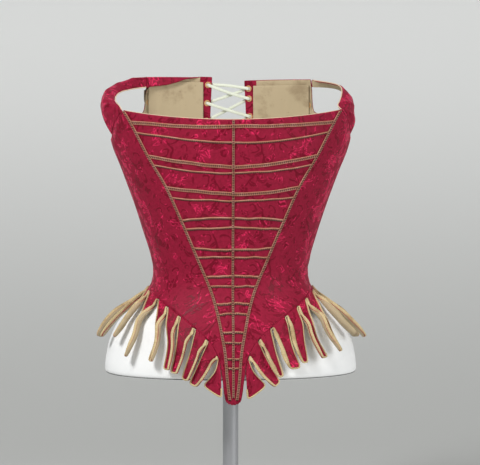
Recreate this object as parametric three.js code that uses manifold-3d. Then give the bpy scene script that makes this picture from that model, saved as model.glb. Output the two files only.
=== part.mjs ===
// A laced historic bodice with skirt tabs, resting on a limbless dress form and its stand.
// Millimetres, +Z up. The front faces -Y and +X is on the right as seen from the front.
// The origin is on the floor, on the axis of the form and under the foot of the stand.
import * as THREE from 'three';
import * as BufferGeometryUtils from 'three/addons/utils/BufferGeometryUtils.js';
import Module from 'manifold-3d';

// ---------------------------------------------------------------- driving dimensions

const SEAM_GAP = 0.5;             // between pieces along a seam
const TAB_GAP = 1.2;              // between the waist seam and the top of a tab
const LAY_GAP = 0.35;             // between a piece and what lies on it
const CLOTH = 2.0;                // wall of the boned panels and straps
const LINEN = 1.0;                // wall of the back lining
const SKIRT = 1.6;                // wall of a skirt tab
const BRAID = 1.2;                // thickness of the gilt braid

const TIP_HEIGHT = 190;           // the lowest point of the front above the floor
const SUPER = 2.2;                // exponent of the body's rounded sections

const SIDE = { left: -1, right: 1 };

// The cloth's outer surface. All heights h are above the tip of the point.
// half is the half width, front and back are the depths from the axis.
const BODY = [
  { h: -12, half: 174.5, front: 113.5, back: 112 },
  { h: 40, half: 174.5, front: 114.0, back: 115 },
  { h: 69, half: 170.5, front: 111.5, back: 114 },
  { h: 83, half: 166.0, front: 109.5, back: 112 },
  { h: 103, half: 155.5, front: 105.5, back: 107 },
  { h: 125, half: 131.5, front: 98.5, back: 98 },
  { h: 146, half: 111.5, front: 92.0, back: 89.5 },
  { h: 160, half: 105.3, front: 89.5, back: 87 },
  { h: 171, half: 104.2, front: 89.0, back: 86 },
  { h: 187, half: 107.0, front: 90.5, back: 86 },
  { h: 220, half: 116.4, front: 95.0, back: 88 },
  { h: 263, half: 130.6, front: 103.0, back: 91.5 },
  { h: 307, half: 146.8, front: 110.5, back: 94.5 },
  { h: 350, half: 162.3, front: 116.0, back: 97 },
  { h: 395, half: 168.0, front: 118.5, back: 98 },
  { h: 430, half: 168.0, front: 119.0, back: 98 },
];

// The seam between front and side panel, as a half width of the front seen from the front.
const V_SEAM = [
  { h: 1, x: 3.6 }, { h: 14, x: 5.8 }, { h: 35, x: 8.2 }, { h: 65, x: 10.5 },
  { h: 100, x: 16.3 }, { h: 140, x: 25.5 }, { h: 196, x: 47.5 }, { h: 248, x: 69.4 },
  { h: 293, x: 89.6 }, { h: 335, x: 114 }, { h: 381, x: 138 }, { h: 394, x: 146 },
];
const CORNER_HEIGHT = 394;        // where V seam, neckline and strap meet

// The waist seam by the angle round the body, 0 at the front centre and 180 at the back.
const WAIST_SEAM = [
  { angle: 1.5, h: 1.5 }, { angle: 2.6, h: 9 }, { angle: 3.4, h: 31 }, { angle: 4.6, h: 59 },
  { angle: 8.2, h: 82 }, { angle: 14.3, h: 99 }, { angle: 23.5, h: 114 },
  { angle: 35.5, h: 126 }, { angle: 48.5, h: 135.5 }, { angle: 72, h: 146 },
  { angle: 110, h: 151 }, { angle: 180, h: 153 },
];
const TAB_SLITS = [3.7, 5.3, 10, 17, 28.4, 41.7, 56, 79, 96, 112, 129, 147, 166];

// The top edge of the side panel: the strap's front root, then the armhole.
const SIDE_TOP = [
  { angle: 60, h: 394 }, { angle: 68, h: 380 }, { angle: 77, h: 362 }, { angle: 85, h: 351.5 },
  { angle: 94, h: 348.5 }, { angle: 106, h: 351 }, { angle: 118, h: 360 }, { angle: 128, h: 376 },
];
const STRAP_ROOT_ANGLE = 80;      // the strap is sewn to the side panel from the corner to here
const BACK_SEAM = { low: 122, high: 128, lowHeight: 151, highHeight: 376 };

// The top edge of a back panel by its half width seen from the front.
const BACK_TOP = [
  { x: 22, h: 424 }, { x: 50, h: 425 }, { x: 80, h: 426 }, { x: 112, h: 427 },
];
const BACK_TOP_RIGHT_DROP = 5;    // the right back stands a little lower
const BACK_ARM = { x: 113.5, low: 413 };  // outer corner of the top, where the strap is sewn
const STRAP_END = { left: 2.0, right: 1.3 };  // from that corner to the strap's end, sideways

// The left back's top edge is rolled over inwards: how far round, and how far it then hangs.
const ROLL_RADIUS = 4.6;
const ROLL = [
  { x: 36, turn: 0, hang: 0 }, { x: 56, turn: 110, hang: 0.5 }, { x: 73, turn: 165, hang: 3 },
  { x: 88, turn: 175, hang: 6 }, { x: 114, turn: 175, hang: 8.5 },
];

// The laced edge as a half width of the gap at the centre back.
const LACED_EDGE = [
  { h: 150, x: 28 }, { h: 250, x: 27 }, { h: 367, x: 25 }, { h: 423, x: 22.5 },
];
const EYELET_INSET = 4.6;
const EYELET_RADIUS = 2.9;
const EYELETS = 11;
const EYELET_STEP = 24.2;
const TOP_EYELETS = { left: [414, 389], right: [408.7, 395] };
const LACE = { width: 3.6, thick: 1.0, outside: 1.7, inside: 1.5, tail: 16 };

// The neckline of the front: its height at the centre and how it rises to the corner.
const NECK = { centre: 386.2, rise: 7.8, power: 1.9 };

// Rungs of braid: height at the centre, how much higher their ends are, and width.
const RUNGS = [
  { h: 376.7, rise: 2.0, width: 5.0 }, { h: 354.4, rise: 10.5, width: 3.2 },
  { h: 322.0, rise: 12.0, width: 5.0 }, { h: 313.0, rise: 8.0, width: 3.0 },
  { h: 284.9, rise: 6.7, width: 4.8 }, { h: 275.3, rise: 2.5, width: 3.0 },
  { h: 251.8, rise: -3.7, width: 3.6 }, { h: 238.4, rise: -3.2, width: 3.4 },
  { h: 207.8, rise: 1.3, width: 3.6 }, { h: 197.7, rise: -0.7, width: 3.2 },
  { h: 172.0, rise: -1.8, width: 3.8 }, { h: 158.0, rise: 0, width: 3.2 },
  { h: 135.6, rise: -1.6, width: 3.6 }, { h: 122.4, rise: -1.6, width: 3.2 },
  { h: 97.7, rise: -0.5, width: 3.4 }, { h: 83.9, rise: 0, width: 3.0 },
  { h: 62.2, rise: 0, width: 3.2 }, { h: 49.8, rise: 0, width: 3.0 },
];
const BRAID_START = 6;            // from the tip of the front up to the braids
const SEAM_BRAID_WIDTH = 4.2;
const CENTRE_BRAID_WIDTH = 3.5;
const HUMP_RUN = 1.6;             // the centre braid climbs a rung over this length

// Skirt tabs from the point to the centre back. angle, h: the middle of the tip. width: at
// the tip. lift: how far the tip stands off. twist: how much further out its forward edge
// stands than its middle. roll: how much of the width is rolled outwards at the forward edge.
// curl: how far the last third turns up. slant: by how much the forward corner is the lower.
// bow: degrees that its middle hangs aside. swell: degrees that half its width gains there.
const TABS = {
  left: [
    { angle: 8, h: 19, width: 28, lift: 4, twist: 0.5, roll: 0, curl: 0,
      slant: 24, bow: -1, swell: -1 },
    { angle: 15.5, h: 28, width: 16.5, lift: 6.5, twist: 3.5, roll: 4, curl: 1,
      slant: 12, bow: -1.5, swell: 1 },
    { angle: 19, h: 35, width: 16, lift: 7.5, twist: 4.5, roll: 5, curl: 1,
      slant: 6, bow: -1.5, swell: 0.5 },
    { angle: 24, h: 44, width: 17, lift: 8, twist: 4, roll: 5, curl: 2,
      slant: 4, bow: -2, swell: 0 },
    { angle: 27.5, h: 48, width: 17, lift: 8.5, twist: 3.5, roll: 6, curl: 2,
      slant: 2, bow: -3.5, swell: -1 },
    { angle: 35.5, h: 58, width: 17.5, lift: 9, twist: 4.5, roll: 8, curl: 3,
      slant: 3, bow: -6, swell: -1 },
    { angle: 50.5, h: 62, width: 16, lift: 9, twist: 4.5, roll: 8, curl: 4,
      slant: 2, bow: -8, swell: -2 },
    { angle: 62.5, h: 84, width: 18.5, lift: 10.5, twist: 3, roll: 8, curl: 3,
      slant: 1, bow: -9, swell: -1 },
    { angle: 76, h: 81, width: 19, lift: 11, twist: 3.5, roll: 4, curl: 3,
      slant: 0, bow: -8.5, swell: -1.5 },
    { angle: 104, h: 74, width: 20, lift: 10, twist: 3, roll: 5, curl: 3,
      slant: -3, bow: -6, swell: 1 },
    { angle: 131, h: 68, width: 20, lift: 8, twist: -1.5, roll: 3, curl: 3,
      slant: 0, bow: -3, swell: 0 },
    { angle: 157, h: 66, width: 21, lift: 7, twist: 1.5, roll: 3, curl: 2,
      slant: 2, bow: -1, swell: 0 },
  ],
  right: [
    { angle: 9, h: 17.5, width: 29, lift: 4, twist: 0.5, roll: 0, curl: 0,
      slant: 26, bow: -1, swell: -1 },
    { angle: 17, h: 28.5, width: 14.5, lift: 6.5, twist: 3, roll: 2, curl: 1,
      slant: 24, bow: -2, swell: 1 },
    { angle: 19, h: 39, width: 12.5, lift: 6.5, twist: 4.5, roll: 2, curl: 0,
      slant: 4, bow: -1.5, swell: 0.5 },
    { angle: 25.5, h: 49, width: 21.5, lift: 8.5, twist: 0.5, roll: 1, curl: 1,
      slant: 2, bow: -1.5, swell: -1 },
    { angle: 30.5, h: 56, width: 13.5, lift: 8.5, twist: -1.5, roll: 1, curl: 2,
      slant: 2, bow: -2.5, swell: 0 },
    { angle: 41, h: 61, width: 20.5, lift: 9, twist: 3.5, roll: 6, curl: 3,
      slant: 2, bow: -6, swell: -1 },
    { angle: 51.5, h: 68, width: 19, lift: 10, twist: 4.5, roll: 7, curl: 4,
      slant: 2, bow: -9, swell: 0 },
    { angle: 68, h: 84, width: 24, lift: 11, twist: 6, roll: 9, curl: 3,
      slant: 0, bow: -11, swell: -2 },
    { angle: 84, h: 77, width: 20, lift: 11, twist: 2, roll: 4, curl: 3,
      slant: -3, bow: -9, swell: 1.5 },
    { angle: 109, h: 72, width: 20, lift: 9, twist: 3, roll: 4, curl: 3,
      slant: 0, bow: -5, swell: 0 },
    { angle: 135, h: 69, width: 20, lift: 9, twist: -1.5, roll: 3, curl: 3,
      slant: 3, bow: -3, swell: 1 },
    { angle: 159, h: 67, width: 21, lift: 7, twist: 1.5, roll: 3, curl: 2,
      slant: -2, bow: -1, swell: 0 },
  ],
};
const ROLL_OUT = { radius: 3.2, start: 0.08, full: 0.5 };  // how a tab's edge rolls outwards
const TAB_EDGE = 2.6;             // from a slit's middle to the cloth of a tab
const TAB_CORNER = 0.07;          // a tip's corners are cut off by this share of the length
const BINDING = { wide: 1.8, thick: 3.0, gap: 0.5, start: 2.4, firstStart: 5.75 };

// Straps, from the front root to the back root. Each station has the inner (neck) edge,
// the crown and the outer (arm) edge. x is the distance from the middle of the body.
const STRAPS = {
  left: [
    { inner: [152.0, -52.0, 398.6], crown: [164.0, -39.0, 389.0], outer: [169.5, -21.0, 372.0] },
    { inner: [156.0, -36.0, 402.5], crown: [170.5, -28.0, 399.5], outer: [174.0, -10.0, 384.0] },
    { inner: [157.0, -18.0, 406.0], crown: [171.5, -11.0, 407.5], outer: [175.0, 4.0, 393.5] },
    { inner: [154.5, 0.0, 409.5], crown: [167.0, 7.0, 415.5], outer: [173.0, 18.0, 401.0] },
    { inner: [148.0, 19.0, 411.8], crown: [156.5, 26.5, 420.5], outer: [165.5, 34.0, 409.0] },
    { inner: [138.0, 37.0, 412.8], crown: [142.0, 44.5, 424.5], outer: [152.5, 52.0, 412.5] },
    { inner: [125.5, 53.5, 413.5], crown: [128.5, 60.0, 427.0], outer: [136.0, 66.5, 413.5] },
  ],
  right: [
    { inner: [144.0, -54.0, 398.5], crown: [161.0, -42.0, 388.0], outer: [167.0, -22.0, 371.0] },
    { inner: [147.0, -40.0, 404.0], crown: [163.0, -30.0, 396.5], outer: [166.0, -12.0, 382.5] },
    { inner: [150.5, -22.0, 411.5], crown: [163.5, -14.0, 404.0], outer: [166.5, 3.0, 390.0] },
    { inner: [151.0, -3.0, 417.5], crown: [160.5, 5.0, 409.5], outer: [163.5, 19.0, 396.0] },
    { inner: [147.0, 17.0, 420.5], crown: [154.5, 24.0, 414.0], outer: [159.0, 36.0, 404.5] },
    { inner: [138.5, 36.0, 421.5], crown: [144.5, 44.0, 418.0], outer: [150.0, 53.0, 411.5] },
    { inner: [127.0, 54.0, 422.0], crown: [131.5, 60.5, 419.0], outer: [135.5, 67.0, 413.5] },
  ],
};

// The dress form, as insets from the cloth's outer surface, and its pole and foot.
const FORM_INSET = [
  { h: 32, side: 9.0, back: 11 }, { h: 37, side: 4.6, back: 7.5 }, { h: 60, side: 4.6, back: 7.5 },
  { h: 125, side: 4.8, back: 7.5 }, { h: 146, side: 3.4, back: 7.4 }, { h: 160, side: 2.9, back: 7.2 },
  { h: 187, side: 2.7, back: 7.2 }, { h: 300, side: 4.0, back: 7.2 }, { h: 330, side: 5.0, back: 8.0 },
  { h: 342, side: 10, back: 12 }, { h: 349, side: 22, back: 22 }, { h: 352, side: 48, back: 42 },
];
const POLE_RADIUS = 10.5;
const SOCKET = { depth: 60, gap: 0.3 };
const FOOT = { radius: 135, thick: 7, edge: 2, collar: 17, collarHeight: 24 };

// ---------------------------------------------------------------- small mathematics

const lerp = (a, b, t) => a + (b - a) * t;
const radians = (degrees) => degrees * Math.PI / 180;

// A smooth curve through a table: Hermite pieces with slopes limited so it never overshoots.
function curveThrough(table, key, value) {
  const n = table.length;
  const chord = (i) => (table[i + 1][value] - table[i][value]) / (table[i + 1][key] - table[i][key]);
  const slope = table.map((row, i) => {
    if (i === 0) return chord(0);
    if (i === n - 1) return chord(n - 2);
    const [before, after] = [chord(i - 1), chord(i)];
    return before * after <= 0 ? 0 : 2 * before * after / (before + after);
  });
  return (at) => {
    let i = 0;
    while (i < n - 2 && at > table[i + 1][key]) i += 1;
    const run = table[i + 1][key] - table[i][key];
    const t = THREE.MathUtils.clamp((at - table[i][key]) / run, 0, 1);
    const [t2, t3] = [t * t, t * t * t];
    return (2 * t3 - 3 * t2 + 1) * table[i][value] + (t3 - 2 * t2 + t) * run * slope[i]
      + (3 * t2 - 2 * t3) * table[i + 1][value] + (t3 - t2) * run * slope[i + 1];
  };
}

const bodyHalf = curveThrough(BODY, 'h', 'half');
const bodyFront = curveThrough(BODY, 'h', 'front');
const bodyBack = curveThrough(BODY, 'h', 'back');
const vSeamX = curveThrough(V_SEAM, 'h', 'x');
const waistHeight = curveThrough(WAIST_SEAM, 'angle', 'h');
const sideTop = curveThrough(SIDE_TOP, 'angle', 'h');
const backTop = curveThrough(BACK_TOP, 'x', 'h');
const lacedEdge = curveThrough(LACED_EDGE, 'h', 'x');
const rollTurn = curveThrough(ROLL, 'x', 'turn');
const rollHang = curveThrough(ROLL, 'x', 'hang');
const formSide = curveThrough(FORM_INSET, 'h', 'side');
const formBack = curveThrough(FORM_INSET, 'h', 'back');

// A point of a rounded section: half width a, depth f in front and b behind.
function section(a, f, b, angle) {
  const [s, c] = [Math.sin(angle), Math.cos(angle)];
  const x = a * Math.sign(s) * Math.abs(s) ** (2 / SUPER);
  const y = -(c > 0 ? f : b) * Math.sign(c) * Math.abs(c) ** (2 / SUPER);
  return [x, y];
}

// The angle at which the body's section at height h reaches the half width x.
function angleAtX(x, h, behind = false) {
  const angle = Math.asin(Math.min(1, (x / bodyHalf(h)) ** (SUPER / 2)));
  return behind ? Math.PI - angle : angle;
}

// A point on the cloth's outer surface, moved out by lift along the surface's normal.
function skin(side, angle, h, lift = 0) {
  const at = (a, z) => {
    const [x, y] = section(bodyHalf(z), bodyFront(z), bodyBack(z), a);
    return new THREE.Vector3(x, y, z + TIP_HEIGHT);
  };
  const step = { angle: 0.01, h: 0.5 };
  const along = at(angle + step.angle, h).sub(at(angle - step.angle, h));
  const up = at(angle, h + step.h).sub(at(angle, h - step.h));
  const point = at(angle, h).addScaledVector(along.cross(up).normalize(), lift);
  point.x *= side;
  return point;
}

// The same for a place on the front given by its half width.
const frontSkin = (side, x, h, lift) => skin(side * (Math.sign(x) || 1), angleAtX(Math.abs(x), h), h, lift);

// ---------------------------------------------------------------- solids

function closedGeometry(points, triangles) {
  let geometry = new THREE.BufferGeometry();
  geometry.setAttribute('position', new THREE.Float32BufferAttribute(points.flatMap((p) => p.toArray()), 3));
  geometry.setIndex(triangles.flat());
  geometry = BufferGeometryUtils.mergeVertices(geometry, 1e-4);
  const [index, at] = [geometry.index.array, geometry.attributes.position];
  const corner = (i) => new THREE.Vector3().fromBufferAttribute(at, index[i]);
  let volume = 0;
  const kept = [];
  for (let i = 0; i < index.length; i += 3) {
    const [a, b, c] = [index[i], index[i + 1], index[i + 2]];
    if (a === b || b === c || c === a) continue;
    kept.push([a, b, c]);
    volume += corner(i).dot(corner(i + 1).cross(corner(i + 2)));
  }
  geometry.setIndex(kept.map(([a, b, c]) => (volume < 0 ? [a, c, b] : [a, b, c])).flat());
  return geometry;
}

// A wall between an outer and an inner grid of points, closed round its four edges.
function wallBetween(outer, inner) {
  const [rows, cols] = [outer.length, outer[0].length];
  const points = [...outer.flat(), ...inner.flat()];
  const at = (layer, r, c) => layer * rows * cols + r * cols + c;
  const triangles = [];
  const quad = (a, b, c, d) => triangles.push([a, b, c], [a, c, d]);
  for (let r = 0; r < rows - 1; r += 1) {
    for (let c = 0; c < cols - 1; c += 1) {
      quad(at(0, r, c), at(0, r, c + 1), at(0, r + 1, c + 1), at(0, r + 1, c));
      quad(at(1, r, c), at(1, r + 1, c), at(1, r + 1, c + 1), at(1, r, c + 1));
    }
  }
  for (let c = 0; c < cols - 1; c += 1) {
    quad(at(0, 0, c), at(1, 0, c), at(1, 0, c + 1), at(0, 0, c + 1));
    quad(at(0, rows - 1, c), at(0, rows - 1, c + 1), at(1, rows - 1, c + 1), at(1, rows - 1, c));
  }
  for (let r = 0; r < rows - 1; r += 1) {
    quad(at(0, r, 0), at(0, r + 1, 0), at(1, r + 1, 0), at(1, r, 0));
    quad(at(0, r, cols - 1), at(1, r, cols - 1), at(1, r + 1, cols - 1), at(0, r + 1, cols - 1));
  }
  return closedGeometry(points, triangles);
}

// Points at cols + 1 even places across, and at even or stated places up.
function grid(rows, cols, pointAt) {
  const up = Array.isArray(rows) ? rows : Array.from({ length: rows + 1 }, (_, r) => r / rows);
  return up.map((v) => Array.from({ length: cols + 1 }, (_, c) => pointAt(c / cols, v)));
}

// A wall on the body: placeAt(u, v) gives the angle and height of each of its points.
function bodyWall(side, rows, cols, placeAt, lift, thick) {
  const layer = (out) => grid(rows, cols, (u, v) => {
    const { angle, h } = placeAt(u, v);
    return skin(side, angle, h, out);
  });
  return wallBetween(layer(lift + thick), layer(lift));
}

// The inner points of a wall of even thickness. sign tells which side of the grid is in.
function innerLayer(outer, thick, sign) {
  const [rows, cols] = [outer.length, outer[0].length];
  const near = (r, c) => outer[THREE.MathUtils.clamp(r, 0, rows - 1)][THREE.MathUtils.clamp(c, 0, cols - 1)];
  return outer.map((row, r) => row.map((p, c) => {
    const across = near(r, c + 1).clone().sub(near(r, c - 1));
    const up = near(r + 1, c).clone().sub(near(r - 1, c));
    return p.clone().addScaledVector(across.cross(up).normalize(), -thick * sign);
  }));
}

const thicken = (outer, thick, sign) => wallBetween(outer, innerLayer(outer, thick, sign));

// A strip of rectangular section carried along a path. faces holds the strip's face normals.
// Strips of the other hand are each other's mirror images down to their triangles.
function strip(path, faces, width, thick, hand = 1) {
  const count = path.length;
  const corners = path.map((p, i) => {
    const before = i > 0 ? p.clone().sub(path[i - 1]).normalize() : null;
    const after = i < count - 1 ? path[i + 1].clone().sub(p).normalize() : null;
    const along = (before ?? after).clone().add(after ?? before).normalize();
    const mitre = 1 / Math.max(0.45, along.dot(before ?? after));
    const bend = before && after ? after.clone().sub(before) : new THREE.Vector3();
    const face = faces[i].clone().addScaledVector(along, -faces[i].dot(along)).normalize();
    const across = along.clone().cross(face).normalize();
    const inPlane = bend.length() < 1e-6 ? 0 : Math.abs(bend.clone().normalize().dot(across));
    const halfWide = across.multiplyScalar(hand * width / 2 * lerp(1, mitre, inPlane));
    const halfThick = face.multiplyScalar(thick / 2 * lerp(mitre, 1, inPlane));
    return [[1, 1], [-1, 1], [-1, -1], [1, -1]].map(([w, t]) => (
      p.clone().addScaledVector(halfWide, w).addScaledVector(halfThick, t)));
  });
  const triangles = [];
  for (let i = 0; i < count - 1; i += 1) {
    for (let k = 0; k < 4; k += 1) {
      const [a, b] = [i * 4 + k, i * 4 + (k + 1) % 4];
      triangles.push([a, b, b + 4], [a, b + 4, a + 4]);
    }
  }
  const last = (count - 1) * 4;
  triangles.push([0, 2, 1], [0, 3, 2], [last, last + 1, last + 2], [last, last + 2, last + 3]);
  return closedGeometry(corners.flat(), triangles);
}

// ---------------------------------------------------------------- boolean cutting

const wasm = await Module();
wasm.setup();

function toManifold(geometry) {
  let plain = geometry.clone();
  plain.deleteAttribute('normal');
  plain.deleteAttribute('uv');
  plain = BufferGeometryUtils.mergeVertices(plain, 1e-4);
  return new wasm.Manifold(new wasm.Mesh({
    numProp: 3,
    vertProperties: new Float32Array(plain.attributes.position.array),
    triVerts: new Uint32Array(plain.index.array),
  }));
}

function fromManifold(solid) {
  const mesh = solid.getMesh();
  const geometry = new THREE.BufferGeometry();
  geometry.setAttribute('position', new THREE.BufferAttribute(new Float32Array(mesh.vertProperties), 3));
  geometry.setIndex(new THREE.BufferAttribute(new Uint32Array(mesh.triVerts), 1));
  return geometry;
}

// ---------------------------------------------------------------- materials and nodes

const material = (color, roughness, metalness = 0) => (
  new THREE.MeshStandardMaterial({ color, roughness, metalness }));
const DAMASK = material(0x9c1a3e, 0.55);
const GILT = material(0xb08a5a, 0.5, 0.3);
const TAPE = material(0xcbbd97, 0.8);
const LINEN_CLOTH = material(0xc4b793, 0.85);
const WHITE_FORM = material(0xe9e8e4, 0.8);
const STEEL = material(0x8d8f92, 0.45, 0.4);

const bodice = new THREE.Group();
function addNode(name, geometry, finish) {
  const mesh = new THREE.Mesh(geometry, finish);
  mesh.name = name;
  bodice.add(mesh);
}

// ---------------------------------------------------------------- front

const neckHeight = (x) => NECK.centre + NECK.rise * (Math.abs(x) / vSeamX(CORNER_HEIGHT)) ** NECK.power;

// The heights of the front's rows, closer together at the hollow of the waist. The side
// panel has a column at each, so that both sides of the V seam match.
const FRONT_ROWS = [1, 20, 50, 80, 104, 128, 147, 161, 174, 188, 208, 236, 268, 300, 332, 364, 394];

function frontPanel(side) {
  const [bottom, top] = [FRONT_ROWS[0], CORNER_HEIGHT];
  const rows = FRONT_ROWS.map((h) => (h - bottom) / (top - bottom));
  return bodyWall(side, rows, 6, (u, v) => {
    const h = lerp(bottom, neckHeight(u * vSeamX(CORNER_HEIGHT)), v);
    const x = lerp(SEAM_GAP / 2, vSeamX(h) - SEAM_GAP / 2, u);
    return { angle: angleAtX(x, h), h };
  }, -CLOTH, CLOTH);
}

// ---------------------------------------------------------------- side

// The rows of side and back panels are alike, so that their seam matches. They are closer
// together at the waist, and at the top, where the back's edge is rolled over.
const PANEL_ROWS = [0, 0.045, 0.09, 0.14, 0.21, 0.32, 0.46, 0.61, 0.76, 0.87, 0.93, 0.957, 0.979, 1];

const backSeamAngle = (h) => radians(lerp(BACK_SEAM.low, BACK_SEAM.high,
  (h - BACK_SEAM.lowHeight) / (BACK_SEAM.highHeight - BACK_SEAM.lowHeight)));

// The side panel's columns: first those that end on the V seam, then those that end at the
// strap's root and the armhole. Each has its angle and the height of its top.
function sideColumns() {
  const onSeam = FRONT_ROWS.map((h) => ({ angle: angleAtX(vSeamX(h) + SEAM_GAP / 2, h), top: h }));
  const corner = onSeam.at(-1).angle;
  const rest = 8;
  const pastCorner = Array.from({ length: rest }, (_, i) => {
    const t = (i + 1) / rest;
    const top = sideTop(lerp(SIDE_TOP[0].angle, BACK_SEAM.high, t));
    return { angle: lerp(corner, radians(BACK_SEAM.high), t), top, past: t };
  });
  return [...onSeam, ...pastCorner];
}

function sidePanel(side) {
  const columns = sideColumns();
  const endGap = SEAM_GAP / 2 / bodyHalf(BACK_SEAM.lowHeight);
  return bodyWall(side, PANEL_ROWS, columns.length - 1, (u, v) => {
    const { angle, top, past = 0 } = columns[Math.round(u * (columns.length - 1))];
    const low = waistHeight(angle * 180 / Math.PI) + SEAM_GAP / 2;
    const h = lerp(low, Math.max(top, low + 0.6), v);
    const lean = (backSeamAngle(h) - radians(BACK_SEAM.high)) * past;
    return { angle: angle + lean - endGap * past, h };
  }, -CLOTH, CLOTH);
}

// ---------------------------------------------------------------- back

const edgeDrop = (side) => (side === SIDE.right ? BACK_TOP_RIGHT_DROP : 0);

// The back panel's columns run from the side-back seam to the laced edge. The first end at
// the armhole, the rest at the top edge, and two close ones make the strap's upright root.
const BACK_COLUMNS = { all: 14, arm: 3 };

function backColumn(side, u) {
  const seamAngle = radians(BACK_SEAM.high) + SEAM_GAP / 2 / bodyHalf(BACK_SEAM.lowHeight);
  const armAngle = angleAtX(BACK_ARM.x, BACK_ARM.low, true);
  const column = u * BACK_COLUMNS.all;
  if (column <= BACK_COLUMNS.arm) {
    const t = column / BACK_COLUMNS.arm;
    // the armhole runs level from the seam and then stands almost upright
    const top = lerp(BACK_SEAM.highHeight, BACK_ARM.low, t ** 5);
    return { seamAngle, topAngle: lerp(seamAngle, armAngle, 1 - (1 - t) ** 2), top, x: 0 };
  }
  const t = (column - BACK_COLUMNS.arm - 1) / (BACK_COLUMNS.all - BACK_COLUMNS.arm - 1);
  const x = lerp(BACK_ARM.x - 0.4, lacedEdge(423), t);
  const top = backTop(x) - edgeDrop(side);
  return { seamAngle, topAngle: angleAtX(x, top, true), top, x };
}

// A point of the back's outer surface: up to the top edge, and on the left over its roll.
function backPoint(side, u, v) {
  const { seamAngle, topAngle, top, x } = backColumn(side, u);
  const turn = side === SIDE.left && x > 0 ? radians(rollTurn(x)) : 0;
  const hang = side === SIDE.left && x > 0 ? rollHang(x) : 0;
  const low = waistHeight(150) + SEAM_GAP / 2;
  const straight = top - low - ROLL_RADIUS * Math.sin(Math.min(turn, Math.PI / 2));
  const run = v * (straight + ROLL_RADIUS * turn + hang);
  const h = low + Math.min(run, straight);
  const seamGap = SEAM_GAP / 2 / bodyHalf(BACK_SEAM.lowHeight);
  const seam = backSeamAngle(Math.min(h, BACK_SEAM.highHeight)) + seamGap;
  const share = (topAngle - seamAngle) / (angleAtX(lacedEdge(423), 423, true) - seamAngle);
  const angle = lerp(seam, angleAtX(lacedEdge(h), h, true), share);
  const round = Math.min(Math.max(0, run - straight) / ROLL_RADIUS, turn);
  const past = Math.max(0, run - straight - ROLL_RADIUS * turn);
  const inwards = ROLL_RADIUS * (1 - Math.cos(round)) + past * Math.sin(turn);
  const point = skin(side, angle, h, -inwards);
  point.z += ROLL_RADIUS * Math.sin(round) + past * Math.cos(turn);
  return point;
}

function backPanel(name) {
  const outer = grid(PANEL_ROWS, BACK_COLUMNS.all, (u, v) => backPoint(SIDE[name], u, v));
  return EYELET_PLACES[name].reduce(punchEyelet, thicken(outer, CLOTH, SIDE[name]));
}

// Eyelets, from the top down: each has its place on the surface and the normal there.
function eyeletPlaces(name) {
  const side = SIDE[name];
  return Array.from({ length: EYELETS }, (_, i) => {
    const h = TOP_EYELETS[name][Math.min(i, 1)] - EYELET_STEP * Math.max(0, i - 1);
    const angle = angleAtX(lacedEdge(h) + EYELET_INSET, h, true);
    const at = skin(side, angle, h);
    return { at, out: skin(side, angle, h, 1).sub(at) };
  });
}
const EYELET_PLACES = { left: eyeletPlaces('left'), right: eyeletPlaces('right') };

function punchEyelet(panel, { at, out }) {
  const punch = new THREE.CylinderGeometry(EYELET_RADIUS, EYELET_RADIUS, CLOTH * 4, 7);
  punch.applyQuaternion(new THREE.Quaternion().setFromUnitVectors(new THREE.Vector3(0, 1, 0), out));
  punch.translate(...at.toArray());
  return fromManifold(toManifold(panel).subtract(toManifold(punch)));
}

// The linen inside the back, from the facing of the laced edge to the armhole.
const LINING = { low: 355, below: 7, gap: 1.1, facing: 11, sideInset: 3 };

function backLining(side) {
  return bodyWall(side, 3, 10, (u, v) => {
    const x = lerp(BACK_ARM.x - LINING.sideInset, lacedEdge(400) + LINING.facing, u);
    const h = lerp(LINING.low, backTop(x) - edgeDrop(side) - LINING.below, v);
    return { angle: angleAtX(x, h, true), h };
  }, -CLOTH - LINING.gap - LINEN, LINEN);
}

// ---------------------------------------------------------------- straps

// Both ends of a strap follow the panel edges that it is sewn to.
function strapStations(name) {
  const side = SIDE[name];
  const place = ([x, y, h]) => new THREE.Vector3(side * x, y, h + TIP_HEIGHT);
  const rootAt = (t) => {
    const angle = lerp(61, STRAP_ROOT_ANGLE, t);
    const point = skin(side, radians(angle), sideTop(angle));
    return point.add(new THREE.Vector3(side * 0.3, 0.2, SEAM_GAP + 0.5));
  };
  const top = backTop(BACK_ARM.x) - edgeDrop(side);
  const backAt = (h, inwards = 0) => (
    skin(side, angleAtX(BACK_ARM.x + STRAP_END[name], h, true), h, -inwards));
  // the left strap goes on over the back's rolled edge, the right one ends flat on its edge
  const backRoot = side === SIDE.left
    ? [backAt(top - ROLL_RADIUS - rollHang(BACK_ARM.x), 2 * ROLL_RADIUS), backAt(top, ROLL_RADIUS),
      backAt(BACK_ARM.low)]
    : [0, 0.5, 1].map((t) => backAt(lerp(top, BACK_ARM.low, t)));
  return [
    [rootAt(0), rootAt(0.5), rootAt(1)],
    ...STRAPS[name].map(({ inner, crown, outer }) => [place(inner), place(crown), place(outer)]),
    backRoot,
  ];
}

function strap(name) {
  const stations = strapStations(name);
  const railOf = (k) => new THREE.CatmullRomCurve3(stations.map((s) => s[k]), false, 'centripetal');
  const rails = [0, 1, 2].map(railOf);
  const outer = grid(3, 15, (u, v) => {
    const [a, b, c] = rails.map((rail) => rail.getPoint(u));
    // one arc through the inner edge, the crown and the outer edge
    const t = 1 - v;
    return a.multiplyScalar((1 - t) * (1 - 2 * t))
      .addScaledVector(b, 4 * t * (1 - t)).addScaledVector(c, t * (2 * t - 1));
  });
  return thicken(outer, CLOTH, SIDE[name]);
}

// ---------------------------------------------------------------- braid

const INNER_BRAID_EDGE = SEAM_BRAID_WIDTH / 2 + LAY_GAP;

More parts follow.
